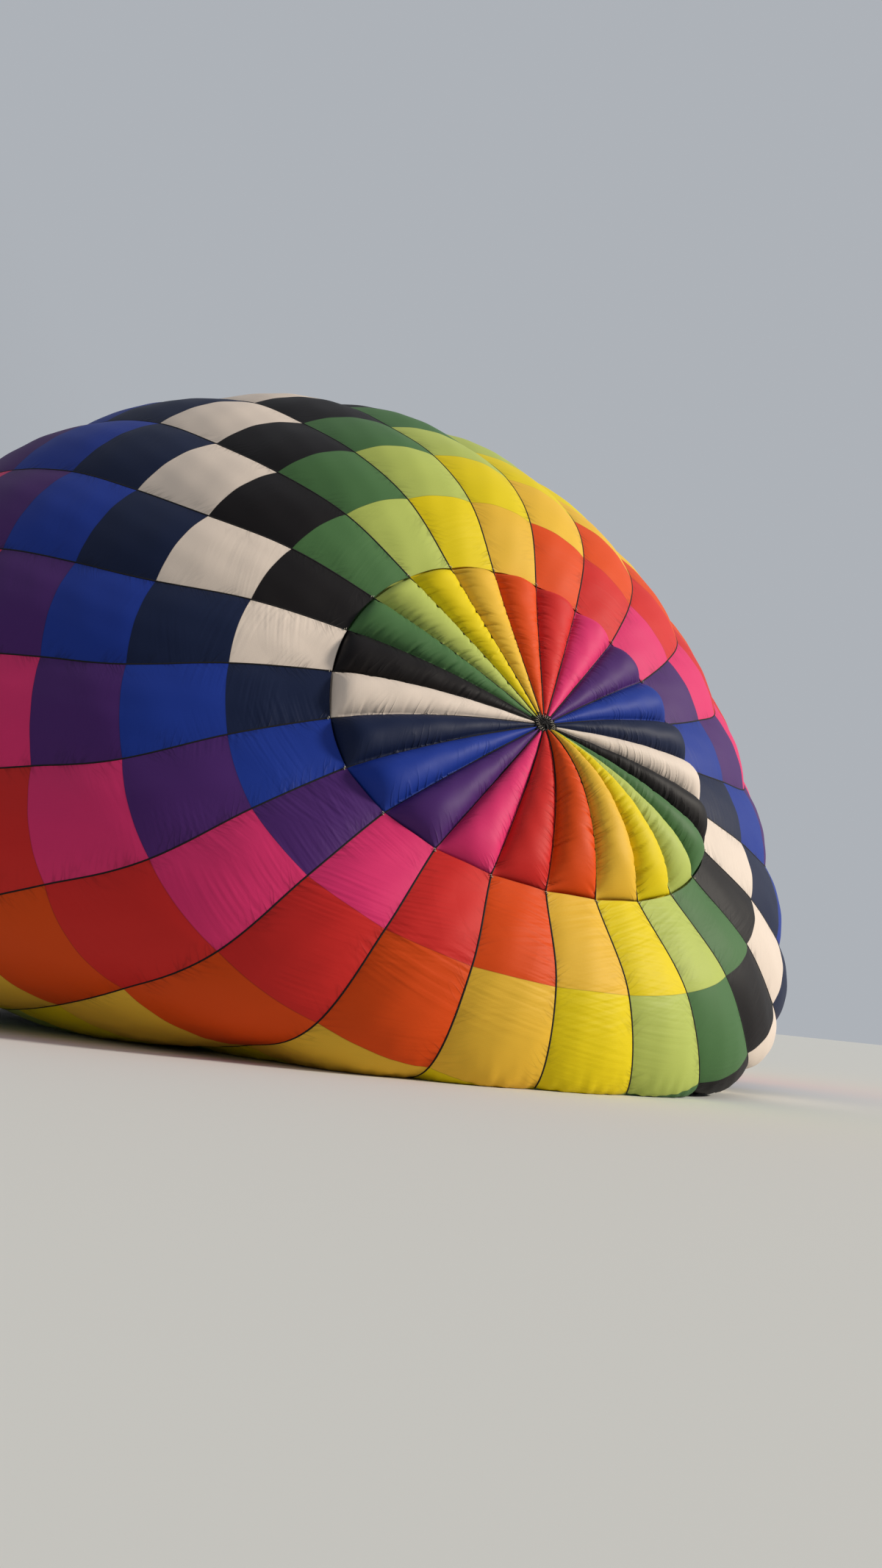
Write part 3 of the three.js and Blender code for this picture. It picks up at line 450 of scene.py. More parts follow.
def cane_material():
    """Varnished palm cane, woven wet: honey brown with streaks along each cane, some canes darker, and a
    worn gloss on top. A cane's own UV runs along it in metres, and every course starts at its own place."""
    material, tree, shader = new_material("woven_cane", Roughness=0.42, Coat_Weight=0.15, Coat_Roughness=0.3)
    run = add(tree, UV_MAP, {"uv_map": "cloth"})
    canes, fibres = (add(tree, NOISE, Vector=add(tree, MAPPING, Vector=run, Scale=repeats), Scale=1.0,
                         Detail=detail)
                     for repeats, detail in (((0.9, 47.0, 1.0), 1.0), ((14.0, 900.0, 1.0), 3.0)))
    mixed = add(tree, MATH, TIMES_PLUS, i0=fibres, i1=0.4, i2=add(tree, MATH, TIMES, i0=canes, i1=0.8))
    ramp = add(tree, "ShaderNodeValToRGB", Fac=mixed)
    for stop, (position, hex_colour) in enumerate(((0.42, "#6b4420"), (0.78, "#c79a5a"))):
        ramp.color_ramp.elements[stop].position = position
        ramp.color_ramp.elements[stop].color = (*linear(hex_colour), 1)
    tree.links.new(ramp.outputs[0], shader.inputs["Base Color"])
    relief = add(tree, BUMP, Strength=0.35, Distance=0.001, Height=fibres)
    tree.links.new(relief.outputs["Normal"], shader.inputs["Normal"])
    return material


CLOTH_MATERIALS = [cloth_material(name, colour) for name, colour in CLOTHS]
CANE = cane_material()
# Woven polyester load tape: matt, with a ribbed weave across it drawn at 6 mm.
WEBBING = patterned("load_tape_polyester", "#141213", 0.78, (160, 160, 160), 0.3, 0.5,
                    Specular_IOR_Level=0.3)
# Undyed hide, tanned and waxed: matt brown with a pebbled grain drawn at 6 mm and darker handled places.
LEATHER = patterned("waxed_hide", "#5b3a24", 0.58, (160, 160, 160), 0.22, 0.5, 0.0012, VORONOI)
# Brushed stainless steel: a bright metal whose fine scratches run one way, drawn at 1.5 mm.
STEEL = patterned("brushed_stainless_steel", "#c4c6c6", 0.32, (40, 700, 700), 0.10, 0.12, 0.0004,
                  Metallic=1.0)
# Drawn aluminium alloy, the skin of a fuel cylinder: duller than steel, with faint rings from spinning.
SPUN_ALUMINIUM = patterned("spun_aluminium", "#aeb1b3", 0.40, (260, 12, 12), 0.08, 0.1, 0.0006, Metallic=0.9)
# Turned brass: warm metal, slightly tarnished in patches.
BRASS = patterned("turned_brass", "#b8923e", 0.30, (30, 30, 30), 0.2, detail=3.0, Metallic=1.0)
# Marine plywood: rotary-cut birch face with long grain along the basket, drawn at 8 mm.
PLYWOOD = patterned("birch_plywood", "#a9824f", 0.62, (18, 3, 120), 0.28, 0.2, 0.0008, detail=4.0)
# Oiled ash, planed and scuffed by the ground.
ASH = patterned("oiled_ash", "#7d5a36", 0.60, (110, 4, 110), 0.3, 0.3, 0.001, detail=4.0)
# Extruded nylon rod: black, slightly waxy.
NYLON = patterned("black_nylon_rod", "#26221f", 0.45, (8, 90, 90), 0.2)
# Heavy woven nylon covers: near black, with a basket weave drawn at 5 mm.
COVER = patterned("woven_nylon_cover", "#2a2624", 0.85, (400, 400, 400), 0.18, 0.3, 0.0008, CHECKER,
                  Sheen_Weight=0.15)
# Heat-proof aramid cloth at the mouth: dark, matt, with a visible plain weave drawn at 12 mm.
ARAMID = patterned("aramid_cloth", "#231f20", 0.82, (160, 160, 160), 0.12, 0.25, 0.0006, CHECKER,
                   Sheen_Weight=0.1)
# Laid steel rope: grey strands that catch the light, drawn at 3 mm.
WIRE_ROPE = patterned("steel_wire_rope", "#9a9c9c", 0.36, (330, 330, 330), 0.3, 0.4, 0.0006, WAVE,
                      Metallic=0.9)
# Moulded handle grips: red, with a soft sheen.
RED_GRIP = patterned("red_moulded_nylon", "#a3211c", 0.45, (60, 60, 60), 0.08, 0.1)
# Braided polyester cord, undyed: pale and slightly rough.
LACING = patterned("braided_polyester_cord", "#b9b2a2", 0.7, (300, 300, 300), 0.2, 0.3)


# Gores

def make_gore(number):
    """The smooth skin between two tapes plus a parabola across it, a low crown on each panel, and soft
    waves of the slack cloth that fade at the tapes, with shorter ones where it is gathered on the ground.
    The cloth stands out less where it is gathered at either end."""
    rows = np.linspace(0, ROWS, ROWS * STEPS_PER_ROW + 1)[:, None]
    even = np.linspace(0, 1, GORE_COLUMNS + 1)
    shares = GORE_EVEN * even + (1 - GORE_EVEN) * (1 - np.cos(math.pi * even)) / 2
    base = skin(rows[:, 0], number + shares)
    width = np.linalg.norm(base[:, -1] - base[:, 0], axis=-1)[:, None]
    u, v = shares[None, :] * width, rows * ROW_PITCH
    parabola = 4 * shares * (1 - shares)
    ends = np.minimum(CROWN_BULGE + rows / BULGE_ROWS[0], (ROWS - rows) / BULGE_ROWS[1])
    bulge = GORE_BULGE * np.minimum(1, ends)
    crown = PANEL_CROWN * np.abs(np.sin(math.pi * rows)) ** PANEL_CROWN_POWER
    slack = ripples(u, v, SLACK, number)
    above = np.maximum(base[..., 2] - GROUND, 0)
    slack += np.exp(-above / GATHER_REACH) * ripples(base[..., 0], base[..., 1], GATHERS, number)
    out = parabola * (bulge + crown) + np.sqrt(parabola) * slack
    points = on_ground(base + surface_normals(base) * out[..., None])

    panel = np.repeat(np.minimum(rows[:-1, 0].astype(int), ROWS - 1), GORE_COLUMNS)
    uv = np.stack(np.broadcast_arrays(u + GORE_SHIFT * number, v), -1)
    name = f"gore_{number + 1:02d}"
    gore = mesh_object(f"{name}_cloth", points, grid_faces(*u.shape), CLOTH_MATERIALS,
                       (number + panel + 1) % len(CLOTHS), uv)
    drag = LEAST_DRAG + (1 - LEAST_DRAG) * near(number, DRAGGED_GORE, 2)
    point_attributes(gore, from_tape=np.minimum(u, width - u), rows=rows + 0 * u, drag=drag + 0 * u)
    declare(gore, "balloon", "cloth_" + CLOTHS[number % len(CLOTHS)][0], name)


def make_tapes(name, base, normal, across, width, proud):
    """Flat tapes along the columns of a grid, with rounded edges: five points across, the outer ones
    lower."""
    shape = np.array([[-0.5, -TAPE_THICK], [-0.5, 0], [0, TAPE_THICK / 2], [0.5, 0], [0.5, -TAPE_THICK]])
    strips = base[:, :, None] + across[:, :, None] * (shape[:, :1] * width)
    strips = on_ground(strips + normal[:, :, None] * (shape[:, 1:] + proud), 0.006)
    lines = len(base)
    faces = grid_faces(lines, 5) + (np.arange(GORES) * lines * 5)[:, None, None]
    return mesh_object(name, strips.transpose(1, 0, 2, 3), faces.reshape(-1, 4), [WEBBING])


def make_load_tapes():
    """Polyester tape over each gore seam from the crown opening to the mouth."""
    rows, tapes = np.linspace(0, ROWS, ROWS * 14 + 1), np.arange(GORES, dtype=float)
    across = unit(skin(rows, tapes + 0.01) - skin(rows, tapes - 0.01))
    piece = make_tapes("load_tapes", skin(rows, tapes), skin_normals(rows, tapes), across,
                       TAPE_WIDTH, TAPE_PROUD)
    declare(piece, "balloon", "webbing")


# Crown

crown_edge = skin([0.0], np.arange(GORES))[0]
CROWN_MIDDLE = crown_edge.mean(axis=0)
edge_arms = crown_edge - CROWN_MIDDLE
CROWN_RADIUS = np.linalg.norm(edge_arms, axis=-1).mean()
CROWN_AXIS = unit(np.cross(edge_arms, np.roll(edge_arms, -1, axis=0)).sum(axis=0))


def dome(shares, tapes):
    """The crown opening's edge drawn in to its middle and lifted by CROWN_RISE (1 - share^2), and by
    BILLOW 4 share (1 - share) low on the sunny side. What the edge stands out of its mean plane fades
    with the cube of the share."""
    edge = skin([0.0], tapes)[0] - CROWN_MIDDLE
    proud = edge @ CROWN_AXIS
    shares = np.asarray(shares, float)[:, None]
    lift = proud[None, :] * (shares**3 - shares) + CROWN_RISE * (1 - shares**2)
    lift = lift + BILLOW * 4 * shares * (1 - shares) * near(tapes, BILLOW_TAPE, BILLOW_POWER)
    return CROWN_MIDDLE + edge[None] * shares[..., None] + lift[..., None] * CROWN_AXIS


def dome_normals(shares, tapes, reach=0.01):
    """Outward directions of the dome, from differences either way."""
    along = dome(shares + reach, tapes) - dome(shares - reach, tapes)
    return unit(np.cross(along, dome(shares, tapes + reach) - dome(shares, tapes - reach)))


def dimples(along, from_tape, side, spacing, width, seed):
    """Creases that stand off the tapes, one to each spacing along them, shifted and weighted by set shares
    of its own: weight * exp(-(way to the crease / width)^2), strongest DIMPLE_OFF_TAPE off the tape. side
    numbers the sides of the lobes. The lobes low on the sunny side and those across from them have the
    most."""
    shares = np.random.RandomState(seed).uniform(size=(3, 2 * GORES, 64))
    place = along / spacing
    cell = np.floor(place).astype(int)
    side = np.broadcast_to(side, cell.shape)
    shift = shares[0][side, cell % 64]
    weight = shares[1][side, cell % 64] * (LEAST_ON_LOBE + (1 - LEAST_ON_LOBE) * shares[2][side, 0])
    weight = weight * (LEAST_AWAY + (1 - LEAST_AWAY) * near(side / 2, *DIMPLED, GORES / 2))
    away = (place - cell - 0.25 - 0.5 * shift) * spacing
    reach = from_tape / DIMPLE_OFF_TAPE
    return weight * np.exp(-(away / width) ** 2) * reach * np.exp(1 - reach)


def make_vent():
    """The parachute vent: between two crown tapes the cloth swells in a rounded arc, rolls down to below
    the opening's edge over the last LOBE_END of the way, and laps under the gores. Dimples stand off each
    tape, deeper towards the edge, and fade half way across the lobe."""
    shares = 1 - (1 - VENT_START) * (1 - np.linspace(0, 1, VENT_LINES + 1)) ** VENT_SPREAD
    even = np.linspace(0, 1, VENT_COLUMNS + 1)[:-1]
    across = VENT_EVEN * even + (1 - VENT_EVEN) * (1 - np.cos(math.pi * even)) / 2
    tapes = (np.arange(GORES)[:, None] + across[None, :]).ravel()
    number, share_across = np.repeat(np.arange(GORES), VENT_COLUMNS), np.tile(across, GORES)
    down = shares[:, None]
    width = (outlines(np.zeros(1))[2][0] / GORES) * down
    u, radial = share_across * width, down * CROWN_RADIUS
    from_tape = np.minimum(u, width - u)

    inner = np.clip((u - TAPE_CLEAR) / np.maximum(width - 2 * TAPE_CLEAR, 1e-4), 0, 1)
    full = near(tapes, *FULLEST)
    ratio = LOBE_RATIO[0] + (LOBE_RATIO[1] - LOBE_RATIO[0]) * near(tapes, *ROUNDEST)
    ratio = ratio + STOUT_RATIO * near(tapes, *STOUT)
    end_share = LOBE_END[0] + (LOBE_END[1] - LOBE_END[0]) * full
    rolled = ((down - (1 - end_share)) / end_share).clip(0, 1)
    end = (1 - rolled**LOBE_ROLL) ** (1 / LOBE_ROLL)
    arc = (4 * inner * (1 - inner)) ** (ARC_POWER - ARC_ROUNDER * full)
    lean = radial + DIMPLE_LEAN * from_tape
    side = 2 * number + (share_across > 0.5)
    deep = sum(share * dimples(lean, from_tape, side, spacing, wide, seed)
               for spacing, wide, share, seed in DIMPLES)
    deep = deep * np.clip(1 - (2 * from_tape / width) ** 2, 0, 1) * np.clip(radial / DIMPLES_FULL, 0, 1)
    slack = ripples(u + number, radial, VENT_SLACK) * arc
    out = ratio * width * arc * end - LOBE_SINK * arc * rolled**3
    out += (slack - DIMPLE_DEPTH * deep) * end - VENT_UNDER
    cloth = dome(shares, tapes) + dome_normals(shares, tapes) * out[..., None]

    laps = VENT_LAP_ROWS * np.array([0.25, 0.6, 1.0])
    hem = skin(laps, tapes) - skin_normals(laps, tapes) * (HEM_UNDER + HEM_DROP * laps)[:, None, None]
    points = np.concatenate([cloth, hem])
    u, from_tape = (np.pad(values, ((0, len(laps)), (0, 0)), "edge") for values in (u, from_tape))
    along = np.vstack([radial, radial[-1] + laps[:, None] * ROW_PITCH]) + 0 * u
    lobe = np.tile(number, len(points) - 1) % len(CLOTHS)
    vent = mesh_object("parachute_vent_cloth", points, grid_faces(*u.shape, close=True), CLOTH_MATERIALS,
                       lobe, np.stack([u + number, along], -1))
    rows = HUB_ROWS + (VENT_ROWS - HUB_ROWS) * np.clip((along - HUB_START) / (HUB_REACH - HUB_START), 0, 1)
    point_attributes(vent, from_tape=from_tape, rows=rows, drag=np.ones(rows.size))
    declare(vent, "vent", "cloth_red", "parachute_vent")


def make_crown_tapes():
    """Tape over each valley of the vent, from the crown ring to the edge of the opening."""
    shares, tapes = np.linspace(VENT_START - 0.004, 1, 60), np.arange(GORES, dtype=float)
    across = unit(dome(shares, tapes + 0.01) - dome(shares, tapes - 0.01))
    piece = make_tapes("crown_tapes", dome(shares, tapes), dome_normals(shares, tapes), across,
                       CROWN_TAPE_WIDTH, CROWN_TAPE_PROUD)
    declare(piece, "balloon", "webbing", "crown_ring")


# Shapes for hard and small parts: each gives an array of points and a list of faces

UP, ACROSS, AHEAD = (0, 0, 1), (0, 1, 0), (1, 0, 0)


def circle(radius, count, middle=(0, 0, 0), first=AHEAD, second=ACROSS):
    """Points at equal steps round a circle in the plane of two directions."""
    turn = np.linspace(0, TURN, count, endpoint=False)[:, None]
    return middle + radius * (np.cos(turn) * first + np.sin(turn) * second)


def in_plane(points, first, second, place=(0, 0, 0)):
    """Flat points laid along two directions from a place."""
    return points @ np.array([first, second], float) + place


def sweep(path, outward, axis, half_out, half_axis, sides=12, square=2.0, close=True):
    """A section carried along a path: |o / half_out|^square + |a / half_axis|^square = 1, with o along
    the path's outward directions and a along the axis. An open path's ends are closed."""
    path = np.asarray(path, float)
    count = len(path)
    angle = np.linspace(0, TURN, sides, endpoint=False)
    out, along = (np.sign(part) * np.abs(part) ** (2 / square) for part in (np.cos(angle), np.sin(angle)))
    half_out, half_axis = (np.broadcast_to(half, count)[:, None, None] for half in (half_out, half_axis))
    outward, axis = (np.broadcast_to(way, path.shape)[:, None] for way in (outward, axis))
    points = path[:, None] + outward * out[None, :, None] * half_out
    points = points + axis * along[None, :, None] * half_axis
    faces = (grid_faces(count + close, sides, close=True) % (count * sides)).tolist()
    if not close:
        faces += [list(range(sides)), list(range(count * sides - 1, (count - 1) * sides - 1, -1))]
    return points, faces


def tube(path, radius, up=UP, sides=12, close=False):
    """A round tube along a path whose direction is never that of up."""
    path = np.asarray(path, float)
    if close:
        along = np.roll(path, -1, axis=0) - np.roll(path, 1, axis=0)
    else:
        along = np.gradient(path, axis=0)
    side = unit(np.cross(along, np.asarray(up, float)))
    return sweep(path, side, unit(np.cross(side, along)), radius, radius, sides, close=close)


def rod(start, end, radius, sides=16):
    """A straight round rod."""
    ends = np.array([start, end], float)
    return tube(ends, radius, np.eye(3)[np.argmin(np.abs(ends[1] - ends[0]))], sides)


def lathe(profile, place=(0, 0, 0), sides=40):
    """A profile of (radius, height) pairs turned about the upright axis through a place."""
    profile = np.asarray(profile, float)
    angle = np.linspace(0, TURN, sides, endpoint=False)
    radius, height = profile[:, :1], np.broadcast_to(profile[:, 1:], (len(profile), sides))
    points = np.stack([radius * np.cos(angle), radius * np.sin(angle), height], -1)
    return points + np.asarray(place, float), grid_faces(len(profile), sides, close=True).tolist()


def even_steps(line, count):
    """Points at equal steps along a line of (x, y, turn) rows, and the directions of the turns there. The
    line's last point is its first."""
    length = np.append(0, np.cumsum(np.linalg.norm(np.diff(line[:, :2], axis=0), axis=1)))
    at = np.linspace(0, length[-1], count, endpoint=False)
    x, y, turn = (np.interp(at, length, line[:, column]) for column in range(3))
    return np.stack([x, y], -1), np.stack([np.cos(turn), np.sin(turn)], -1)


def rounded_loop(half_x, half_y, corner, count):
    """Points at equal steps round a rectangle with round corners, from the middle of its +X side
    towards +Y, and the outward directions there."""
    turn = np.concatenate([np.linspace(quarter, quarter + 1, 12) for quarter in range(4)]) * math.pi / 2
    x = (half_x - corner) * np.repeat([1, -1, -1, 1], 12) + corner * np.cos(turn)
    y = (half_y - corner) * np.repeat([1, 1, -1, -1], 12) + corner * np.sin(turn)
    return even_steps(np.vstack([[half_x, 0, 0], np.stack([x, y, turn], -1), [half_x, 0, TURN]]), count)


def level_loop(half_x, half_y, corner, height, count, place=(0, 0)):
    """A rounded rectangle at a height, as points and outward directions in space."""
    loop, outward = rounded_loop(half_x, half_y, corner, count)
    return in_plane(loop, AHEAD, ACROSS, (*place, height)), in_plane(outward, AHEAD, ACROSS)


def block(half_x, half_y, low, high, corner, edge=0.003, place=(0, 0), count=48):
    """A solid with rounded upright corners and rounded top and bottom edges: four outlines, the end ones
    drawn in by the edge's radius."""
    rings = []
    for inset, height in ((edge, low), (0, low + edge), (0, high - edge), (edge, high)):
        bend = max(corner - inset, edge / 2)
        rings.append(level_loop(half_x - inset, half_y - inset, bend, height, count, place)[0])
    faces = grid_faces(4, count, close=True).tolist()
    return np.stack(rings), faces + [list(range(count)), list(range(4 * count - 1, 3 * count - 1, -1))]


def plate_with_hole(half, long_half, hole, thick, place):
    """An upright plate in the YZ plane with round corners and a round hole at its own place."""
    loop, _ = rounded_loop(half, long_half, half * 0.8, 40)
    turn = np.arctan2(loop[:, 1] / long_half, loop[:, 0] / half)
    ring = hole * np.stack([np.cos(turn), np.sin(turn)], -1)
    rings = [in_plane(outline, ACROSS, UP, (side * thick / 2, 0, 0))
             for outline, side in ((ring, -1), (loop, -1), (loop, 1), (ring, 1), (ring, -1))]
    return np.stack(rings) + np.asarray(place, float), grid_faces(5, 40, close=True).tolist()


def bush(radius, half, hole=0.010):
    """The profile of a sleeve with eased edges."""
    edge = [(hole, half), (radius - 0.002, half), (radius, half - 0.003)]
    return [(out, -along) for out, along in edge] + edge[::-1] + [(hole, -half)]


def turned(shape, axes, place):
    """A shape with its x, y and z laid along three axes and its origin moved to a place."""
    points, faces = shape
    return np.reshape(points, (-1, 3)) @ np.asarray(axes, float) + np.asarray(place, float), faces


def moved(shapes, place):
    """Shapes with their origin moved to a place."""
    return [turned(shape, np.eye(3), place) for shape in shapes]


def merge(shapes):
    """Several shapes as one array of points and one list of faces."""
    points, faces, first = [], [], 0
    for shape_points, shape_faces in shapes:
        points.append(np.reshape(shape_points, (-1, 3)))
        faces += [[corner + first for corner in face] for face in shape_faces]
        first += len(points[-1])
    return np.vstack(points), faces


def small_piece(name, shapes, material, slot, body="balloon", replaced=()):
    """One piece made of closed shapes."""
    return declare(close_up(mesh_object(name, *merge(shapes), [material])), body, slot, *replaced)


# Gondola, worked out standing upright with z from its runners up, then laid on its side

BASKET = {"width": 1.15, "length": 1.40, "height": 1.08, "wall": 0.045, "corner": 0.13, "foot": 0.034}
UPRIGHT = {"radius": 0.017, "inset": 0.10, "foot": 0.42, "bend": (1.16, 1.72), "hole": 0.0184}
SLEEVE = {"low": 1.155, "high": 1.815, "radius": 0.027, "end": 0.0185}
FRAME = {"height": 1.96, "x": 0.42, "y": 0.54, "tube": 0.018}
SOCKET = {"radius": 0.027, "down": 0.13, "up": 0.026, "stop": 0.03}
LUG = {"half": 0.023, "half_tall": 0.034, "thick": 0.010, "hole": 0.013, "out": 0.052, "hole_in": 0.024}
KARABINER = {"half": 0.026, "long": 0.096, "wire": 0.0045, "foot": 2.016, "roller": 0.011, "pitch": 0.010}
CYLINDER = {"radius": 0.15, "from_wall": 0.245, "foot": 0.0528}
GIMBAL = {"x": 0.25, "y": 0.43, "tube": 0.014}
PIN, PIN_PAST = 0.009, 0.010
BURNER = {"spacing": 0.30, "can": 0.118, "height": 0.34, "wall": 0.004, "block": 0.13, "lift": 0.06}
CORNERS = [(1, 1), (1, -1), (-1, 1), (-1, -1)]
# The basket's outside and the middle of its wall as rounded rectangles: half the width and length, and the
# radius of the corners.
OUTSIDE = (BASKET["width"] / 2, BASKET["length"] / 2, BASKET["corner"])
WALL = tuple(size - BASKET["wall"] / 2 for size in OUTSIDE)
RIM_LOW, RIM_HIGH = BASKET["height"] + 0.0004, BASKET["height"] + 0.0624
SHARP = math.radians(40)

GONDOLA_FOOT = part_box("skid_lower")[0][0]
RIM_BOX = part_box("basket_rim")
GONDOLA_MIDDLE = (RIM_BOX[0][2] + RIM_BOX[1][2]) / 2


def laid(points):
    """Upright gondola points turned about Y onto their side: z runs to the mouth, x points down."""
    points = np.asarray(points, float).reshape(-1, 3)
    return np.stack([GONDOLA_FOOT + points[:, 2], points[:, 1], GONDOLA_MIDDLE - points[:, 0]], -1)


def gondola_piece(name, shapes, material, slot, body="balloon", replaced=()):
    """One piece of the gondola, laid down, its sharp edges kept sharp."""
    points, faces = merge(shapes)
    piece = small_piece(name, [(laid(points), faces)], material, slot, body, replaced)
    piece.data.set_sharp_from_angle(angle=SHARP)
    return piece


def basket_place(corner, inset):
    """A place inside one of the basket's corners."""
    return corner[0] * (OUTSIDE[0] - inset), corner[1] * (OUTSIDE[1] - inset)


def frame_place(corner):
    """The place of one of the burner frame's corners."""
    return corner[0] * FRAME["x"], corner[1] * FRAME["y"]


# The basket's weave: how many stakes, steps from one to the next, courses of cane and sides to a cane, and
# sizes in metres.
WEAVE = {"stakes": 80, "steps": 3, "courses": 48, "pitch": 0.0215, "first": 0.047, "swing": 0.0115,
         "thick": 0.0085, "tall": 0.0138, "sides": 6, "stake": 0.0065}
STEP_HOLE = {"half_y": 0.095, "low": 0.27, "high": 0.39, "lip": 0.012}
# How long a course is for the cane's streaks, and how much further along the streaks each course starts.
COURSE_LENGTH, COURSE_SHIFT = 4.8, 3.7


def in_step_hole(points):
    """Which of these places round the wall are across the step hole."""
    return (points[:, 0] < 0.01 - WALL[0]) & (np.abs(points[:, 1]) < STEP_HOLE["half_y"])


def make_basket_weave():
    """Canes woven round upright stakes: course n runs round the wall at an offset from its middle of
    swing * cos(pi * stake + pi * n), so that neighbouring courses pass on opposite sides of each stake."""
    courses, sides = WEAVE["courses"], WEAVE["sides"]
    count = WEAVE["stakes"] * WEAVE["steps"]
    loop, outward = rounded_loop(*WALL, count)
    course = np.arange(courses)[:, None, None]
    stake = (np.arange(count) / WEAVE["steps"])[None, :, None]
    angle = (np.arange(sides) * TURN / sides)[None, None, :]
    offset = WEAVE["swing"] * np.cos(math.pi * (stake + course)) + WEAVE["thick"] * np.cos(angle)
    level = WEAVE["first"] + WEAVE["pitch"] * course
    height = level + WEAVE["tall"] * np.sin(angle) + 0 * offset
    x, y = (loop[None, :, None, axis] + outward[None, :, None, axis] * offset for axis in (0, 1))

    ring = (grid_faces(count + 1, sides, close=True) % (count * sides)).reshape(count, sides, 4)
    faces = ring + course[..., None] * count * sides
    beside = in_step_hole((loop + np.roll(loop, -1, axis=0)) / 2)
    opened = (level[:, 0] > STEP_HOLE["low"]) & (level[:, 0] < STEP_HOLE["high"]) & beside
    run = np.linspace(0, COURSE_LENGTH, count)[None, :, None] + COURSE_SHIFT * course
    points, uv = laid(np.stack([x, y, height], -1)), np.stack([run + 0 * height, height], -1)
    piece = mesh_object("basket_weave", points, faces[~opened].reshape(-1, 4), [CANE], uv=uv)
    declare(close_up(piece), "balloon", "wicker", "basket_walls")

    stakes, _ = rounded_loop(*WALL, WEAVE["stakes"])
    low, high = BASKET["foot"] + 0.004, BASKET["height"]
    gondola_piece("basket_stakes", [rod((x, y, low), (x, y, high), WEAVE["stake"], 8)
                                    for x, y in stakes[~in_step_hole(stakes)]], CANE, "wicker")


def make_basket_leather():
    """Padded hide over the rim, a hide band round the foot, and hide round the step hole and the rod
    sockets, all laced with a hide thong. The thong draws the rim's padding in at every stitch."""
    path, outward = level_loop(*WALL, (RIM_LOW + RIM_HIGH) / 2, 480)
    turn = np.linspace(0, TURN, 480, endpoint=False)
    pull = 0.0012 * np.sin(turn * 120) + 0.001 * np.sin(turn * 17 + 1.3)
    hide = sweep(path, outward, UP, 0.040 + pull, 0.0295 + pull, 16, 2.7)
    rim = gondola_piece("basket_rim_padding", [hide], LEATHER, "leather", replaced=["basket_rim"])

    foot = level_loop(*(size + 0.001 for size in OUTSIDE), 0.082, 200)
    half_z = (STEP_HOLE["high"] - STEP_HOLE["low"]) / 2
    loop, out = rounded_loop(STEP_HOLE["half_y"] + 0.004, half_z + 0.004, 0.03, 80)
    hole = in_plane(loop, ACROSS, UP, (-WALL[0], 0, STEP_HOLE["low"] + half_z))
    bands = [sweep(*foot, UP, 0.003, 0.044, 8, 5),
             sweep(hole, in_plane(out, ACROSS, UP), AHEAD, STEP_HOLE["lip"], 0.026, 12, 3)]
    bore = UPRIGHT["hole"]
    boot = [(bore, 0.40), (0.033, 0.40), (0.036, 0.41), (0.035, 0.52), (0.036, 0.65), (0.033, 0.66),
            (bore, 0.66), (bore, 0.40)]
    for corner in CORNERS:
        bands.append(lathe(boot, (*basket_place(corner, UPRIGHT["inset"]), 0), 24))
    gondola_piece("basket_hide_bands", bands, LEATHER, "leather")

    # The thong under the rim: short stitches that lean over the edge of the hide, one every 40 mm.
    stitch_path, stitch_out = level_loop(*(size + 0.026 for size in WALL), RIM_LOW - 0.004, 125)
    stitches, run = [], np.linspace(-1, 1, 5)[:, None]
    for place, direction, step in zip(stitch_path, stitch_out, np.roll(stitch_path, -1, 0) - stitch_path):
        arch = place + step * 0.22 * run + np.array([0, 0, 0.016]) * run + direction * 0.006 * (1 - run**2)
        stitches.append(tube(arch, 0.0028, direction, 6))
    gondola_piece("rim_lacing", stitches, LEATHER, "leather")

    # Grips of hide-covered rope along the short sides, each a half loop that hangs from its ends.
    grips = []
    run = np.linspace(0, math.pi, 17)
    for side in (-1, 1):
        for x in (-0.30, 0.30):
            bow = [x - 0.085 * np.cos(run), side * (OUTSIDE[1] + 0.002 + 0.042 * np.sin(run)),
                   0.80 - 0.02 * np.sin(run)]
            grips.append(tube(np.stack(bow, -1), 0.011))
    gondola_piece("hide_grips", grips, LEATHER, "leather")


def make_runners_and_floor():
    """Two ash runners with raised ends under the basket, held by bolts, and the plywood floor."""
    half_length, half_tall = OUTSIDE[1] - 0.03, BASKET["foot"] / 2
    y = np.linspace(-half_length, half_length, 41)
    taper = np.clip((half_length - np.abs(y)) / 0.09, 0, 1)
    tall = half_tall * (0.45 + 0.55 * np.sqrt(1 - (1 - taper) ** 2))
    head = [(0, -0.002), (0.010, -0.0015), (0.013, 0.001), (0.013, 0.004), (0, 0.004)]
    heads = []
    for side, x in (("lower", 0.33), ("upper", -0.33)):
        path = np.stack([np.full(41, x), y, BASKET["foot"] - tall], -1)
        runner = sweep(path, AHEAD, UP, 0.030, tall, 20, 5, close=False)
        gondola_piece(f"runner_{side}", [runner], ASH, "hardwood", replaced=[f"skid_{side}"])
        heads += [lathe(head, (x, bolt, 0), 16) for bolt in np.linspace(-0.55, 0.55, 5)]
    gondola_piece("runner_bolts", heads, STEEL, "stainless_steel")
    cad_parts["basket_floor"].material_slots[0].material = PLYWOOD


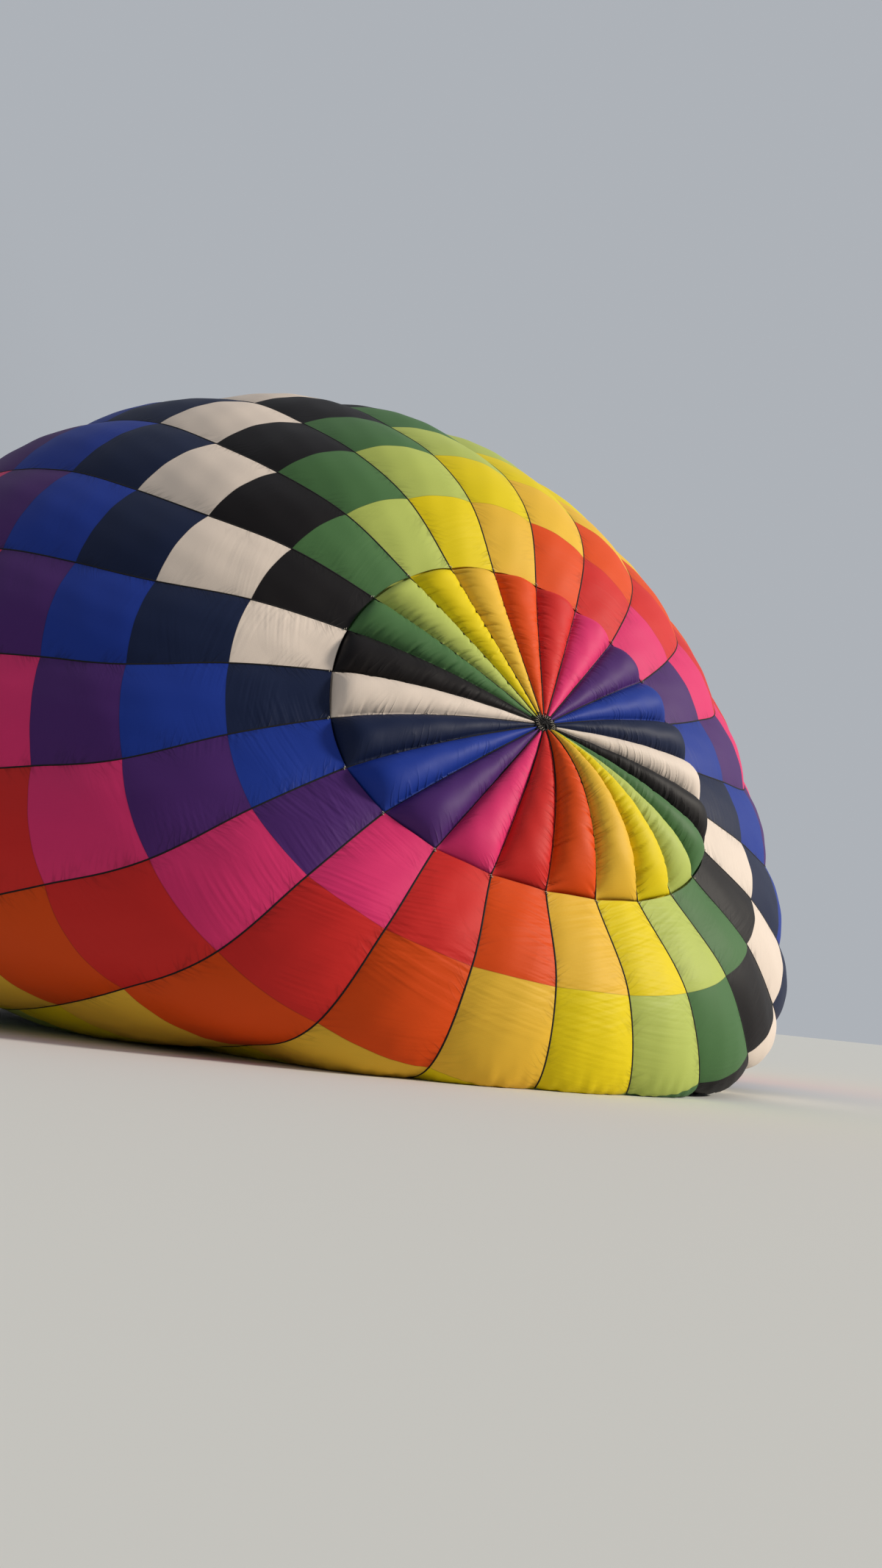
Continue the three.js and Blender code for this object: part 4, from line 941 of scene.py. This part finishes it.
def belt(first, first_radius, second, second_radius, count):
    """The loop of a strap round two upright posts: an arc round each and the two straight runs that touch
    both, as level points and outward directions."""
    first, second = np.asarray(first, float), np.asarray(second, float)
    gap = second - first
    heading = math.atan2(gap[1], gap[0])
    reach = math.acos((first_radius - second_radius) / np.linalg.norm(gap))
    wide = np.linspace(heading + reach, heading + TURN - reach, 40)
    narrow = np.linspace(heading - reach, heading + reach, 20)
    turn = np.concatenate([wide, narrow + TURN])
    middle = np.repeat([first, second], [40, 20], axis=0)
    radius = np.repeat([first_radius, second_radius], [40, 20])[:, None]
    line = np.hstack([middle + radius * np.stack([np.cos(turn), np.sin(turn)], -1), turn[:, None]])
    return even_steps(np.vstack([line, line[:1] + (0, 0, TURN)]), count)


def make_fuel_cylinders():
    """Spun cylinders with a foot ring, a rolled guard round a brass valve, and two straps to the rod's
    socket. The shoulders are quarter ellipses."""
    radius = CYLINDER["radius"]
    bend = np.linspace(0, math.pi / 2, 10)
    low = np.stack([0.118 + (radius - 0.118) * np.sin(bend), 0.105 - 0.070 * np.cos(bend)], -1)
    high = np.stack([0.030 + (radius - 0.030) * np.cos(bend), 0.665 + 0.070 * np.sin(bend)], -1)
    ring = [(0, 0.02), (0.100, 0.02), (0.112, 0.0), (0.119, 0.001), (0.120, 0.03)]
    weld = [(radius, 0.383), (radius + 0.0012, 0.386), (radius + 0.0012, 0.394), (radius, 0.397)]
    shell = [lathe(ring + low.tolist() + weld + high.tolist() + [(0.030, 0.742), (0, 0.742)], sides=48)]
    guard, valve_height, wheel_height = 0.088, 0.763, 0.787
    for start in (0, 120, 240):
        turn = np.radians(np.linspace(start, start + 74, 19))
        outward = np.stack([np.cos(turn), np.sin(turn), np.zeros(19)], -1)
        shell.append(sweep(guard * outward + (0, 0, 0.758), outward, UP, 0.002, 0.034, 8, 6, close=False))
    shell.append(tube(circle(guard, 24, (0, 0, 0.793)), 0.0055, UP, 10, close=True))
    valve = lathe([(0.020, 0.742), (0.020, 0.752), (0.013, 0.755), (0.013, 0.772), (0.016, 0.774),
                   (0.016, 0.780), (0.006, 0.782), (0.006, 0.789), (0, 0.789)], sides=24)
    wheel = [tube(circle(0.026, 24, (0, 0, wheel_height)), 0.0045, UP, 8, close=True)]
    for x, y in ((0.025, 0), (0.0125, 0.02165), (-0.0125, 0.02165)):
        wheel.append(rod((x, y, wheel_height), (-x, -y, wheel_height), 0.003, 6))
    for number, corner in enumerate(CORNERS, 1):
        name = f"cylinder_{number}_"
        x, y = basket_place(corner, CYLINDER["from_wall"])
        place = (x, y, CYLINDER["foot"])
        outlet = rod((0, 0, valve_height), (-0.045 * corner[0], 0, valve_height), 0.008, 12)
        gondola_piece(name + "shell", moved(shell, place), SPUN_ALUMINIUM, "cylinder_steel",
                      replaced=[f"fuel_cylinder_{number}"])
        gondola_piece(name + "valve", moved([valve, outlet], place), BRASS, "stainless_steel")
        gondola_piece(name + "handwheel", moved(wheel, place), RED_GRIP, "stainless_steel")
        inward = -unit(np.array([*corner, 0.0]))
        axes = [(-inward[1], inward[0], 0), UP, inward]
        loop, out = (in_plane(part, AHEAD, ACROSS) for part in belt(
            (x, y), radius + 0.003, basket_place(corner, UPRIGHT["inset"]), 0.0385, 120))
        straps, buckles = [], []
        for height in (0.47, 0.60):
            straps.append(sweep(loop + (0, 0, height), out, UP, 0.0016, 0.022, 8, 6))
            buckles.append(turned(block(0.026, 0.028, -0.004, 0.004, 0.006, 0.0015), axes,
                                  (x, y, height) + inward * (radius + 0.008)))
        gondola_piece(name + "straps", straps, WEBBING, "webbing")
        gondola_piece(name + "buckles", buckles, STEEL, "stainless_steel")


def make_frame():
    """A rectangle of tube with a socket at each corner for a rod, a lug over it for the karabiner, and two
    eyes for the gimbal's pins. Weld beads run round each joint."""
    height, half_x, half_y, radius = FRAME["height"], FRAME["x"], FRAME["y"], FRAME["tube"]
    outer, hole = SOCKET["radius"], UPRIGHT["hole"]
    low, high, stop = height - SOCKET["down"], height + SOCKET["up"], height - SOCKET["stop"]
    barrel = [(hole, low), (0.025, low), (outer + 0.002, low + 0.004), (outer + 0.002, low + 0.012),
              (outer, low + 0.016), (outer, high - 0.004), (0.023, high), (0, high), (0, stop), (hole, stop),
              (hole, low)]
    shapes = []
    for side in (-1, 1):
        shapes.append(rod((-half_x, side * half_y, height), (half_x, side * half_y, height), radius, 24))
        shapes.append(rod((side * half_x, -half_y, height), (side * half_x, half_y, height), radius, 24))
        shapes.append(turned(lathe(bush(0.023, 0.030), sides=28), [AHEAD, UP, (0, -1, 0)],
                             (0, side * (half_y - 0.004), height)))
    for corner in CORNERS:
        x, y = frame_place(corner)
        shapes.append(lathe(barrel, (x, y, 0), 28))
        lug = (x, y, high + LUG["out"] - LUG["hole_in"] - 0.004)
        shapes.append(plate_with_hole(LUG["half"], LUG["half_tall"], LUG["hole"], LUG["thick"], lug))
        for axis, reach in zip(np.eye(3)[:2], corner):
            middle = (x, y, height) - axis * reach * (outer + 0.001)
            bead = circle(radius + 0.001, 20, middle, (axis[1], axis[0], 0), UP)
            shapes.append(tube(bead, 0.0028, axis, 8, close=True))
    gondola_piece("burner_frame_tubes", shapes, STEEL, "stainless_steel", replaced=["burner_frame"])


def upright_line(corner, height):
    """The middle of a rod at some heights: it bends over from the basket's socket to the frame's by the
    smooth step 3 s^2 - 2 s^3."""
    foot, head = np.array(basket_place(corner, UPRIGHT["inset"])), np.array(frame_place(corner))
    low, high = UPRIGHT["bend"]
    step = np.clip((height - low) / (high - low), 0, 1)[:, None]
    return np.hstack([foot + (head - foot) * step**2 * (3 - 2 * step), height[:, None]])


def make_uprights():
    """Nylon rods from the basket's sockets to the frame's, each inside a padded cover that is gathered
    every 55 mm and has a laced seam."""
    thick = UPRIGHT["radius"]
    rod_height = np.linspace(UPRIGHT["foot"], FRAME["height"] - SOCKET["stop"] - 0.0004, 40)
    height = np.linspace(SLEEVE["low"], SLEEVE["high"], 90)
    ends = np.clip(np.minimum(height - SLEEVE["low"], SLEEVE["high"] - height) / 0.02, 0, 1)
    full = SLEEVE["end"] + (SLEEVE["radius"] - SLEEVE["end"]) * np.sqrt(1 - (1 - ends) ** 2)
    full += 0.0009 * np.sin(height * TURN / 0.055) * ends
    zigzag = 0.004 * (-1.0) ** np.arange(60)[:, None]
    for number, corner in enumerate(CORNERS, 1):
        name = f"upright_{number}"
        core = sweep(upright_line(corner, rod_height), AHEAD, ACROSS, thick, thick, 20, close=False)
        gondola_piece(name + "_rod", [core], NYLON, "upright_nylon", replaced=[name])
        sleeve = sweep(upright_line(corner, height), AHEAD, ACROSS, full, full, 20, close=False)
        cover = gondola_piece(name + "_cover", [sleeve], COVER, "upright_nylon")
        inward = -unit(np.array([*corner, 0.0]))
        seam = upright_line(corner, np.linspace(1.18, 1.79, 60)) + inward * (SLEEVE["radius"] + 0.0005)
        thong = tube(seam + np.cross(inward, UP) * zigzag, 0.0014, inward, 6)
        gondola_piece(name + "_lacing", [thong], LEATHER, "leather")


def make_gimbal():
    """A ring of tube with two pins in the frame's eyes, a collar on each, and two eyes for the burner's."""
    height, half_x, half_y = FRAME["height"], GIMBAL["x"], GIMBAL["y"]
    path, outward = level_loop(half_x, half_y, 0.03, height, 160)
    shapes = [sweep(path, outward, UP, GIMBAL["tube"], GIMBAL["tube"], 20)]
    collar = [(0, 0), (0.015, 0), (0.017, 0.002), (0.017, 0.012), (0.015, 0.014), (0, 0.014)]
    for side in (-1, 1):
        pin_end = (0, side * (FRAME["y"] + PIN_PAST), height)
        shapes.append(rod((0, side * (half_y - 0.005), height), pin_end, PIN, 20))
        shapes.append(turned(lathe(collar, sides=24), [AHEAD, (0, 0, side), (0, side, 0)],
                             (0, side * (half_y + 0.014), height)))
        shapes.append(turned(lathe(bush(0.024, 0.023), sides=28), [ACROSS, UP, AHEAD],
                             (side * (half_x - 0.006), 0, height)))
    gondola_piece("gimbal_tubes", shapes, STEEL, "stainless_steel", "gimbal", ["gimbal_ring"])


def make_burners():
    """Each burner: a steel can round a helix of vaporising tube, a jet ring, a block with a blast valve and
    its lever, a pilot and a gauge. The helix is (r cos t, r sin t, pitch t)."""
    height = FRAME["height"]
    can, wall, half = BURNER["can"], BURNER["wall"], BURNER["block"] / 2
    foot, base, valve = height + BURNER["lift"], height - 0.105, height - 0.182
    top = foot + BURNER["height"]
    coil_radius, jet_radius, jet_height = 0.088, 0.045, foot + 0.055
    bowl, bowl_radius, bowl_deep = np.linspace(0, math.pi / 2, 8), 0.073, 0.07
    outside = np.stack([bowl_radius + (can - bowl_radius) * np.sin(bowl),
                        foot + bowl_deep - bowl_deep * np.cos(bowl)], -1).tolist()
    bead = [(can, top - 0.05), (can + 0.0015, top - 0.047), (can + 0.0015, top - 0.043), (can, top - 0.04)]
    lip = [(can, top - 0.002), (can - wall / 2, top), (can - wall, top - 0.002)]
    inside = [(radius - wall, z + wall) for radius, z in reversed(outside)]
    shell = [(0, foot), *outside, *bead, *lip, *inside, (0, foot + wall)]
    turn, pitch = np.linspace(0, TURN * 5, 200), 0.040
    helix = np.stack([coil_radius * np.cos(turn), coil_radius * np.sin(turn),
                      foot + 0.085 + pitch * turn / TURN], -1)
    ring = circle(jet_radius, 32, (0, 0, jet_height))
    drop = [(coil_radius, 0, foot + 0.03), (coil_radius, 0, foot + 0.06)]
    coil = [tube(helix, 0.0075, UP, 10), tube(drop, 0.0075, AHEAD, 10),
            tube(ring, 0.007, UP, 10, close=True),
            *(rod(jet + (0, 0, 0.006), jet + (0, 0, 0.016), 0.003, 8) for jet in ring[::2]),
            rod((jet_radius, 0, jet_height), (coil_radius, 0, jet_height), 0.007, 10)]
    bolt = [(0, -0.005), (0.007, -0.005), (0.008, -0.003), (0.008, 0.002), (0, 0.002)]
    body = [block(half, half - 0.001, base, foot + 0.005, 0.022, 0.004),
            block(0.020, 0.020, valve, base + 0.002, 0.008, 0.003, (0.039, 0))]
    body += [lathe(bolt, (x, y, base), 6) for x in (-0.045, 0.045) for y in (-0.045, 0.045)]
    inlet = [(0, -0.03), (0.010, -0.03), (0.010, -0.018), (0.014, -0.016), (0.014, 0.0), (0, 0.0)]
    pilot = [(0, -0.045), (0.008, -0.045), (0.008, -0.02), (0.012, -0.018), (0.012, 0.0), (0, 0.0)]
    gauge = height - 0.05
    fittings = [lathe(inlet, (0.039, 0, valve), 6), lathe(pilot, (-0.035, 0, base), 6),
                rod((-0.065, 0, gauge), (-0.088, 0, gauge), 0.010, 16),
                rod((-0.086, 0, gauge), (-0.100, 0, gauge), 0.024, 28)]
    bent = np.array([(0, 0, 0), (0.03, 0, -0.004), (0.06, 0, -0.018), (0.085, 0, -0.040), (0.10, 0, -0.075)])
    lever = [tube(bent + (0.050, 0, height - 0.150), 0.006, ACROSS, 12)]
    for side_name, side in (("left", -1), ("right", 1)):
        name = f"burner_{side_name}"
        for part, shapes, material, replaced in (
            ("can", [lathe(shell, sides=64)], STEEL, [name]),
            ("coil", coil, STEEL, []),
            ("block", body, SPUN_ALUMINIUM, []),
            ("fittings", fittings, BRASS, []),
            ("lever", lever, RED_GRIP, []),
        ):
            gondola_piece(f"{name}_{part}", moved(shapes, (0, side * BURNER["spacing"] / 2, 0)), material,
                          "stainless_steel", "burner", replaced)
    gap, reach = (BURNER["spacing"] - BURNER["block"]) / 2, GIMBAL["x"] + PIN_PAST
    shapes = [block(0.045, gap - 0.0006, height - 0.055, height + 0.015, 0.010, 0.004),
              rod((-reach, 0, height), (reach, 0, height), PIN, 20)]
    gondola_piece("burner_bar_block", shapes, STEEL, "stainless_steel", "burner", ["burner_bar"])


# Mouth

# How many rows deep the skirt hangs, and how far in metres its cloth sags between the tapes and waves.
SKIRT_ROWS, SKIRT_SAG, SKIRT_WAVE = 0.4, 0.010, 0.016


def mouth_line(rows, tapes):
    """The skin carried on past its last row in the direction of its last half row."""
    edge, before = skin([ROWS], tapes)[0], skin([ROWS - 0.5], tapes)[0]
    return edge + (edge - before) * ((np.asarray(rows, float)[:, None, None] - ROWS) / 0.5)


def make_skirt():
    """Aramid cloth that hangs from the mouth, scalloped between the tapes by its own slack, and webbing
    round the mouth and along the skirt's hem."""
    tapes = np.linspace(0, GORES, GORES * 14 + 1)[:-1]
    rows = ROWS + np.linspace(0.0, SKIRT_ROWS, 15)
    base = mouth_line(rows, tapes)
    outward = skin_normals(np.array([ROWS - 0.02]), tapes)[0]
    down = (rows - ROWS)[:, None] / SKIRT_ROWS
    between = np.sin(math.pi * (tapes % 1)) ** 2
    wave = (SKIRT_WAVE * between * down * np.sin(3 * tapes) - SKIRT_SAG * between) * down
    points = on_ground(base + outward * (wave - 0.004)[..., None])
    round_mouth = float(np.linalg.norm(np.diff(base[0], axis=0), axis=1).sum())
    uv = np.stack(np.broadcast_arrays(tapes * round_mouth / GORES, (rows - ROWS)[:, None] * ROW_PITCH), -1)
    skirt = mesh_object("mouth_skirt_cloth", points, grid_faces(15, len(tapes), close=True), [ARAMID], uv=uv)
    declare(skirt, "balloon", "skirt_cloth", "mouth_skirt")
    hems = []
    for row in (ROWS, ROWS + SKIRT_ROWS - 0.02):
        line = on_ground(mouth_line([row], tapes)[0] + outward * 0.003, 0.008)
        along = unit(np.roll(line, -1, axis=0) - np.roll(line, 1, axis=0))
        hems.append(sweep(line, outward, np.cross(outward, along), 0.0018, 0.013, 8, 5))
    small_piece("mouth_hem_tapes", hems, WEBBING, "webbing")


def make_flying_wires():
    """Steel ropes from the tapes at the skirt's hem to the karabiners over the burner frame, six to each,
    with a pressed sleeve and an eye at either end."""
    quarter = np.floor(4 * ((np.arange(GORES) - FOOT_TAPE - TAPE_TWIST * ROWS) / GORES % 1)).astype(int)
    tapes = np.arange(GORES, dtype=float)
    inward = skin_normals(np.array([float(ROWS)]), tapes, 0.05)[0] * -0.005
    hem = on_ground(mouth_line([ROWS + SKIRT_ROWS], tapes)[0] + inward, 0.012)
    half, wire, head = KARABINER["half"], KARABINER["wire"], KARABINER["foot"] + KARABINER["long"]
    half_roller = 3 * KARABINER["pitch"] + 0.004
    loop, out = rounded_loop(half - wire, KARABINER["long"] / 2 - wire, half - 0.006, 64)
    names = ("lower_right", "lower_left", "upper_right", "upper_left")
    for corner, wanted, name in zip(CORNERS, (0, 3, 1, 2), names):
        x, y = frame_place(corner)
        ends = hem[quarter == wanted]
        shapes = []
        for place, end in enumerate(ends[np.argsort(ends[:, 1])]):
            hook = laid([(x, y + (place - 2.5) * KARABINER["pitch"], head)])[0]
            away = unit(hook - end)
            side = unit(np.cross(away, ACROSS))
            through = np.cross(away, side)
            shapes.append(rod(end + away * 0.02, hook - away * 0.03, 0.003, 8))
            shapes.append(tube([end + away * 0.03, end + away * 0.075], 0.0055, ACROSS, 10))
            shapes.append(tube([hook - away * 0.085, hook - away * 0.035], 0.0048, ACROSS, 10))
            for middle, radius, long, thick in ((end + away * 0.017, 0.014, 1.0, 0.003),
                                                (hook - away * 0.008, 0.0175, 1.2, 0.0028)):
                eye = circle(radius, 16, middle, away * long, side)
                shapes.append(tube(eye, thick, through, 8, close=True))
        small_piece(f"flying_wires_{name}_ropes", shapes, WIRE_ROPE, "stainless_steel",
                    replaced=[f"flying_wires_{name}"])
        link = in_plane(loop, AHEAD, UP, (x, y, KARABINER["foot"] + KARABINER["long"] / 2))
        gate = x + half - wire
        parts = [sweep(link, in_plane(out, AHEAD, UP), ACROSS, wire, wire, 14),
                 rod((gate, y, head - 0.070), (gate, y, head - 0.035), 0.0075, 16),
                 rod((x, y - half_roller, head), (x, y + half_roller, head), KARABINER["roller"], 20)]
        for side in (-1, 1):
            cheek = [(x, y + side * place, head) for place in (half_roller, half_roller - 0.003)]
            parts.append(rod(*cheek, 0.015, 20))
        gondola_piece(f"karabiner_{name}", parts, STEEL, "stainless_steel")


# Webbing loops in layers round the crown ring: half a loop's length and height, the section of its webbing,
# and each layer's steps along, up and inwards. A swing is a size and a turn from one loop to the next.
LOOP_LAYERS, LOOP_LONG, LOOP_TALL, LOOP_SECTION = 4, 0.068, 0.040, (0.0022, 0.012)
SHORTER, TALLER, LAYER_UP, LAYER_IN, LOOP_OUT = 0.008, 0.003, 0.006, 0.045, 0.032
TURN_SWING, LEAN_SWING, LONG_SWING, TALL_SWING, SIDE_SWING = (
    (0.25, 4.4), (0.9, 2.4), (0.012, 1.7), (0.009, 3.1), (0.010, 5.0))


def make_crown_ring():
    """The forged ring at the crown, the loops of webbing that the crown tapes are sewn into round it, the
    cord that laces them, and the patch over the middle of the vent below it. A loop is an ellipse that
    stands along its tape and leans a little, each by its own amount, in four layers."""
    first = unit(np.cross(CROWN_AXIS, ACROSS))
    axes = np.array([first, np.cross(CROWN_AXIS, first), CROWN_AXIS])
    place = CROWN_MIDDLE + CROWN_AXIS * CROWN_RISE
    middle = (RING["outer"] + RING["inner"]) / 2
    loops = []
    spots = dome(np.array([VENT_START]), np.arange(GORES, dtype=float))[0]
    for count in range(LOOP_LAYERS * GORES):
        layer, tape = divmod(count, GORES)
        arm = spots[tape] - place
        outward = unit(arm - CROWN_AXIS * (arm @ CROWN_AXIS))
        across = np.cross(CROWN_AXIS, outward)
        twist, lean, high, aside = (size * math.sin(step * count) for size, step in (
            TURN_SWING, LEAN_SWING, TALL_SWING, SIDE_SWING))
        outward = unit(outward + across * twist)
        stand = unit(CROWN_AXIS + across * lean)
        long = LOOP_LONG + LONG_SWING[0] * math.cos(LONG_SWING[1] * count) - SHORTER * layer
        tall = LOOP_TALL + high + TALLER * layer
        centre = place + outward * (middle + LOOP_OUT - LAYER_IN * layer) + across * aside
        centre = centre + CROWN_AXIS * LAYER_UP * layer
        path = circle(1, 20, centre, outward * long, stand * tall)
        normal = unit(circle(1, 20, 0, outward / long, stand / tall))
        loops.append(sweep(path, normal, unit(np.cross(stand, outward)), *LOOP_SECTION, 6, 3))
    angle = np.linspace(0, TURN, 24, endpoint=False)
    metal = np.stack([middle + RING["half_wide"] * np.cos(angle), 0.5 * RING["thick"] * np.sin(angle)], -1)
    turn = np.linspace(0, TURN, 24 * 12, endpoint=False)
    lace_radius, lace_height = 0.142 + 0.036 * np.cos(GORES * turn), 0.034 + 0.012 * np.sin(GORES * turn)
    lace = np.stack([lace_radius * np.cos(turn), lace_radius * np.sin(turn), lace_height], -1)
    dish = [(0, -0.020), (0.10, -0.022), (0.165, -0.026), (0.18, -0.034), (0.18, -0.036), (0.10, -0.025),
            (0, -0.023)]
    ring, lacing, patch = (turned(shape, axes, place) for shape in (
        lathe(np.vstack([metal, metal[:1]]), sides=72), tube(lace, 0.0032, UP, 8, close=True),
        lathe(dish, sides=72)))
    small_piece("crown_ring_metal", [ring], STEEL, "stainless_steel")
    small_piece("crown_tape_loops", loops, WEBBING, "webbing")
    small_piece("crown_lacing", [lacing], LACING, "webbing")
    small_piece("vent_middle_patch", [patch], COVER, "webbing", "vent")


def make_edge_ties():
    """Short ties of pale cord where each tape passes the opening's edge: two small rings side by side."""
    tapes = np.arange(GORES, dtype=float)
    spots = skin([0.02], tapes)[0]
    outward = skin_normals(np.array([0.02]), tapes)[0]
    along = unit(skin([0.06], tapes)[0] - spots)
    shapes = []
    for spot, out, run in zip(spots, outward, along):
        side = np.cross(out, run)
        for shift in (-0.012, 0.012):
            ring = circle(0.014, 12, spot + out * 0.012 + (side + run) * shift, side, out)
            shapes.append(tube(ring, 0.0045, run, 6, close=True))
    small_piece("edge_ties", shapes, LACING, "webbing")


for gore_number in range(GORES):
    make_gore(gore_number)
make_load_tapes()
make_vent()
make_crown_tapes()
make_crown_ring()
make_edge_ties()
make_skirt()
make_flying_wires()
make_basket_weave()
make_basket_leather()
make_runners_and_floor()
make_fuel_cylinders()
make_frame()
make_uprights()
make_gimbal()
make_burners()


# Floor, light and camera

FLOOR_RADIUS = 400.0
# Directions towards the sun and towards the brightest part of the surround.
SUN_SIDE, BRIGHT_SIDE = (0.50, 0.740, 0.450), (-0.22, 0.72, 0.66)
SUN_ENERGY, SUN_ANGLE, SUN_COLOUR = 3.1, math.radians(9), (1.0, 0.93, 0.82)
SURROUND_COLOUR, SURROUND_STRENGTH = (0.84, 0.89, 0.96, 1), (0.10, 0.50)


def make_floor():
    """A pale disc under the balloon, far wider than what the camera sees."""
    material = new_material("pale_floor", Roughness=0.9, Specular_IOR_Level=0.2,
                            Base_Color=(*linear("#d8d8d4"), 1))[0]
    ring = circle(FLOOR_RADIUS, 96, (0, 0, GROUND - 0.002))
    mesh_object("floor", ring, [list(range(96))], [material])


def make_light():
    """Soft light from the right of the camera, low and a little warm, and a pale surround that is brighter
    on that side."""
    world = bpy.data.worlds.new("surround")
    world.use_nodes = True
    tree = world.node_tree
    background = tree.nodes["Background"]
    background.inputs["Color"].default_value = SURROUND_COLOUR
    facing = add(tree, VECTOR_MATH, DOT, i0=add(tree, PLACES).outputs["Generated"], i1=BRIGHT_SIDE)
    strength = add(tree, RANGE, Value=facing.outputs["Value"], From_Min=-1.0, From_Max=0.6,
                   To_Min=SURROUND_STRENGTH[0], To_Max=SURROUND_STRENGTH[1])
    tree.links.new(strength.outputs[0], background.inputs["Strength"])
    bpy.context.scene.world = world
    lamp = bpy.data.lights.new("key", "SUN")
    lamp.energy = SUN_ENERGY
    lamp.angle = SUN_ANGLE
    lamp.color = SUN_COLOUR
    key = bpy.data.objects.new("key", lamp)
    key.rotation_mode = "QUATERNION"
    key.rotation_quaternion = Vector(SUN_SIDE).to_track_quat("Z", "Y")
    bpy.context.collection.objects.link(key)


def make_camera():
    """The photograph's view: yaw from +X, pitch above the level and roll about the line of sight."""
    yaw, pitch, roll = (math.radians(CAMERA[key]) for key in ("yaw", "pitch", "roll"))
    forward = Vector((math.cos(pitch) * math.cos(yaw), math.cos(pitch) * math.sin(yaw), math.sin(pitch)))
    level = Vector((math.sin(yaw), -math.cos(yaw), 0))
    upright = level.cross(forward)
    right = math.cos(roll) * level + math.sin(roll) * upright
    up = math.cos(roll) * upright - math.sin(roll) * level
    camera = bpy.data.cameras.new("camera")
    camera.sensor_width = SENSOR_MM
    camera.lens = FOCAL_PIXELS / FRAME_PIXELS[1] * SENSOR_MM
    camera.clip_end = 2000
    eye = bpy.data.objects.new("camera", camera)
    turn = Matrix((right, up, -forward)).transposed().to_4x4()
    eye.matrix_world = Matrix.Translation(from_crown([CAMERA["x"], CAMERA["y"], CAMERA["z"]])) @ turn
    bpy.context.collection.objects.link(eye)
    bpy.context.scene.camera = eye


make_floor()
make_light()
make_camera()
bpy.context.scene.view_settings.view_transform = "Standard"
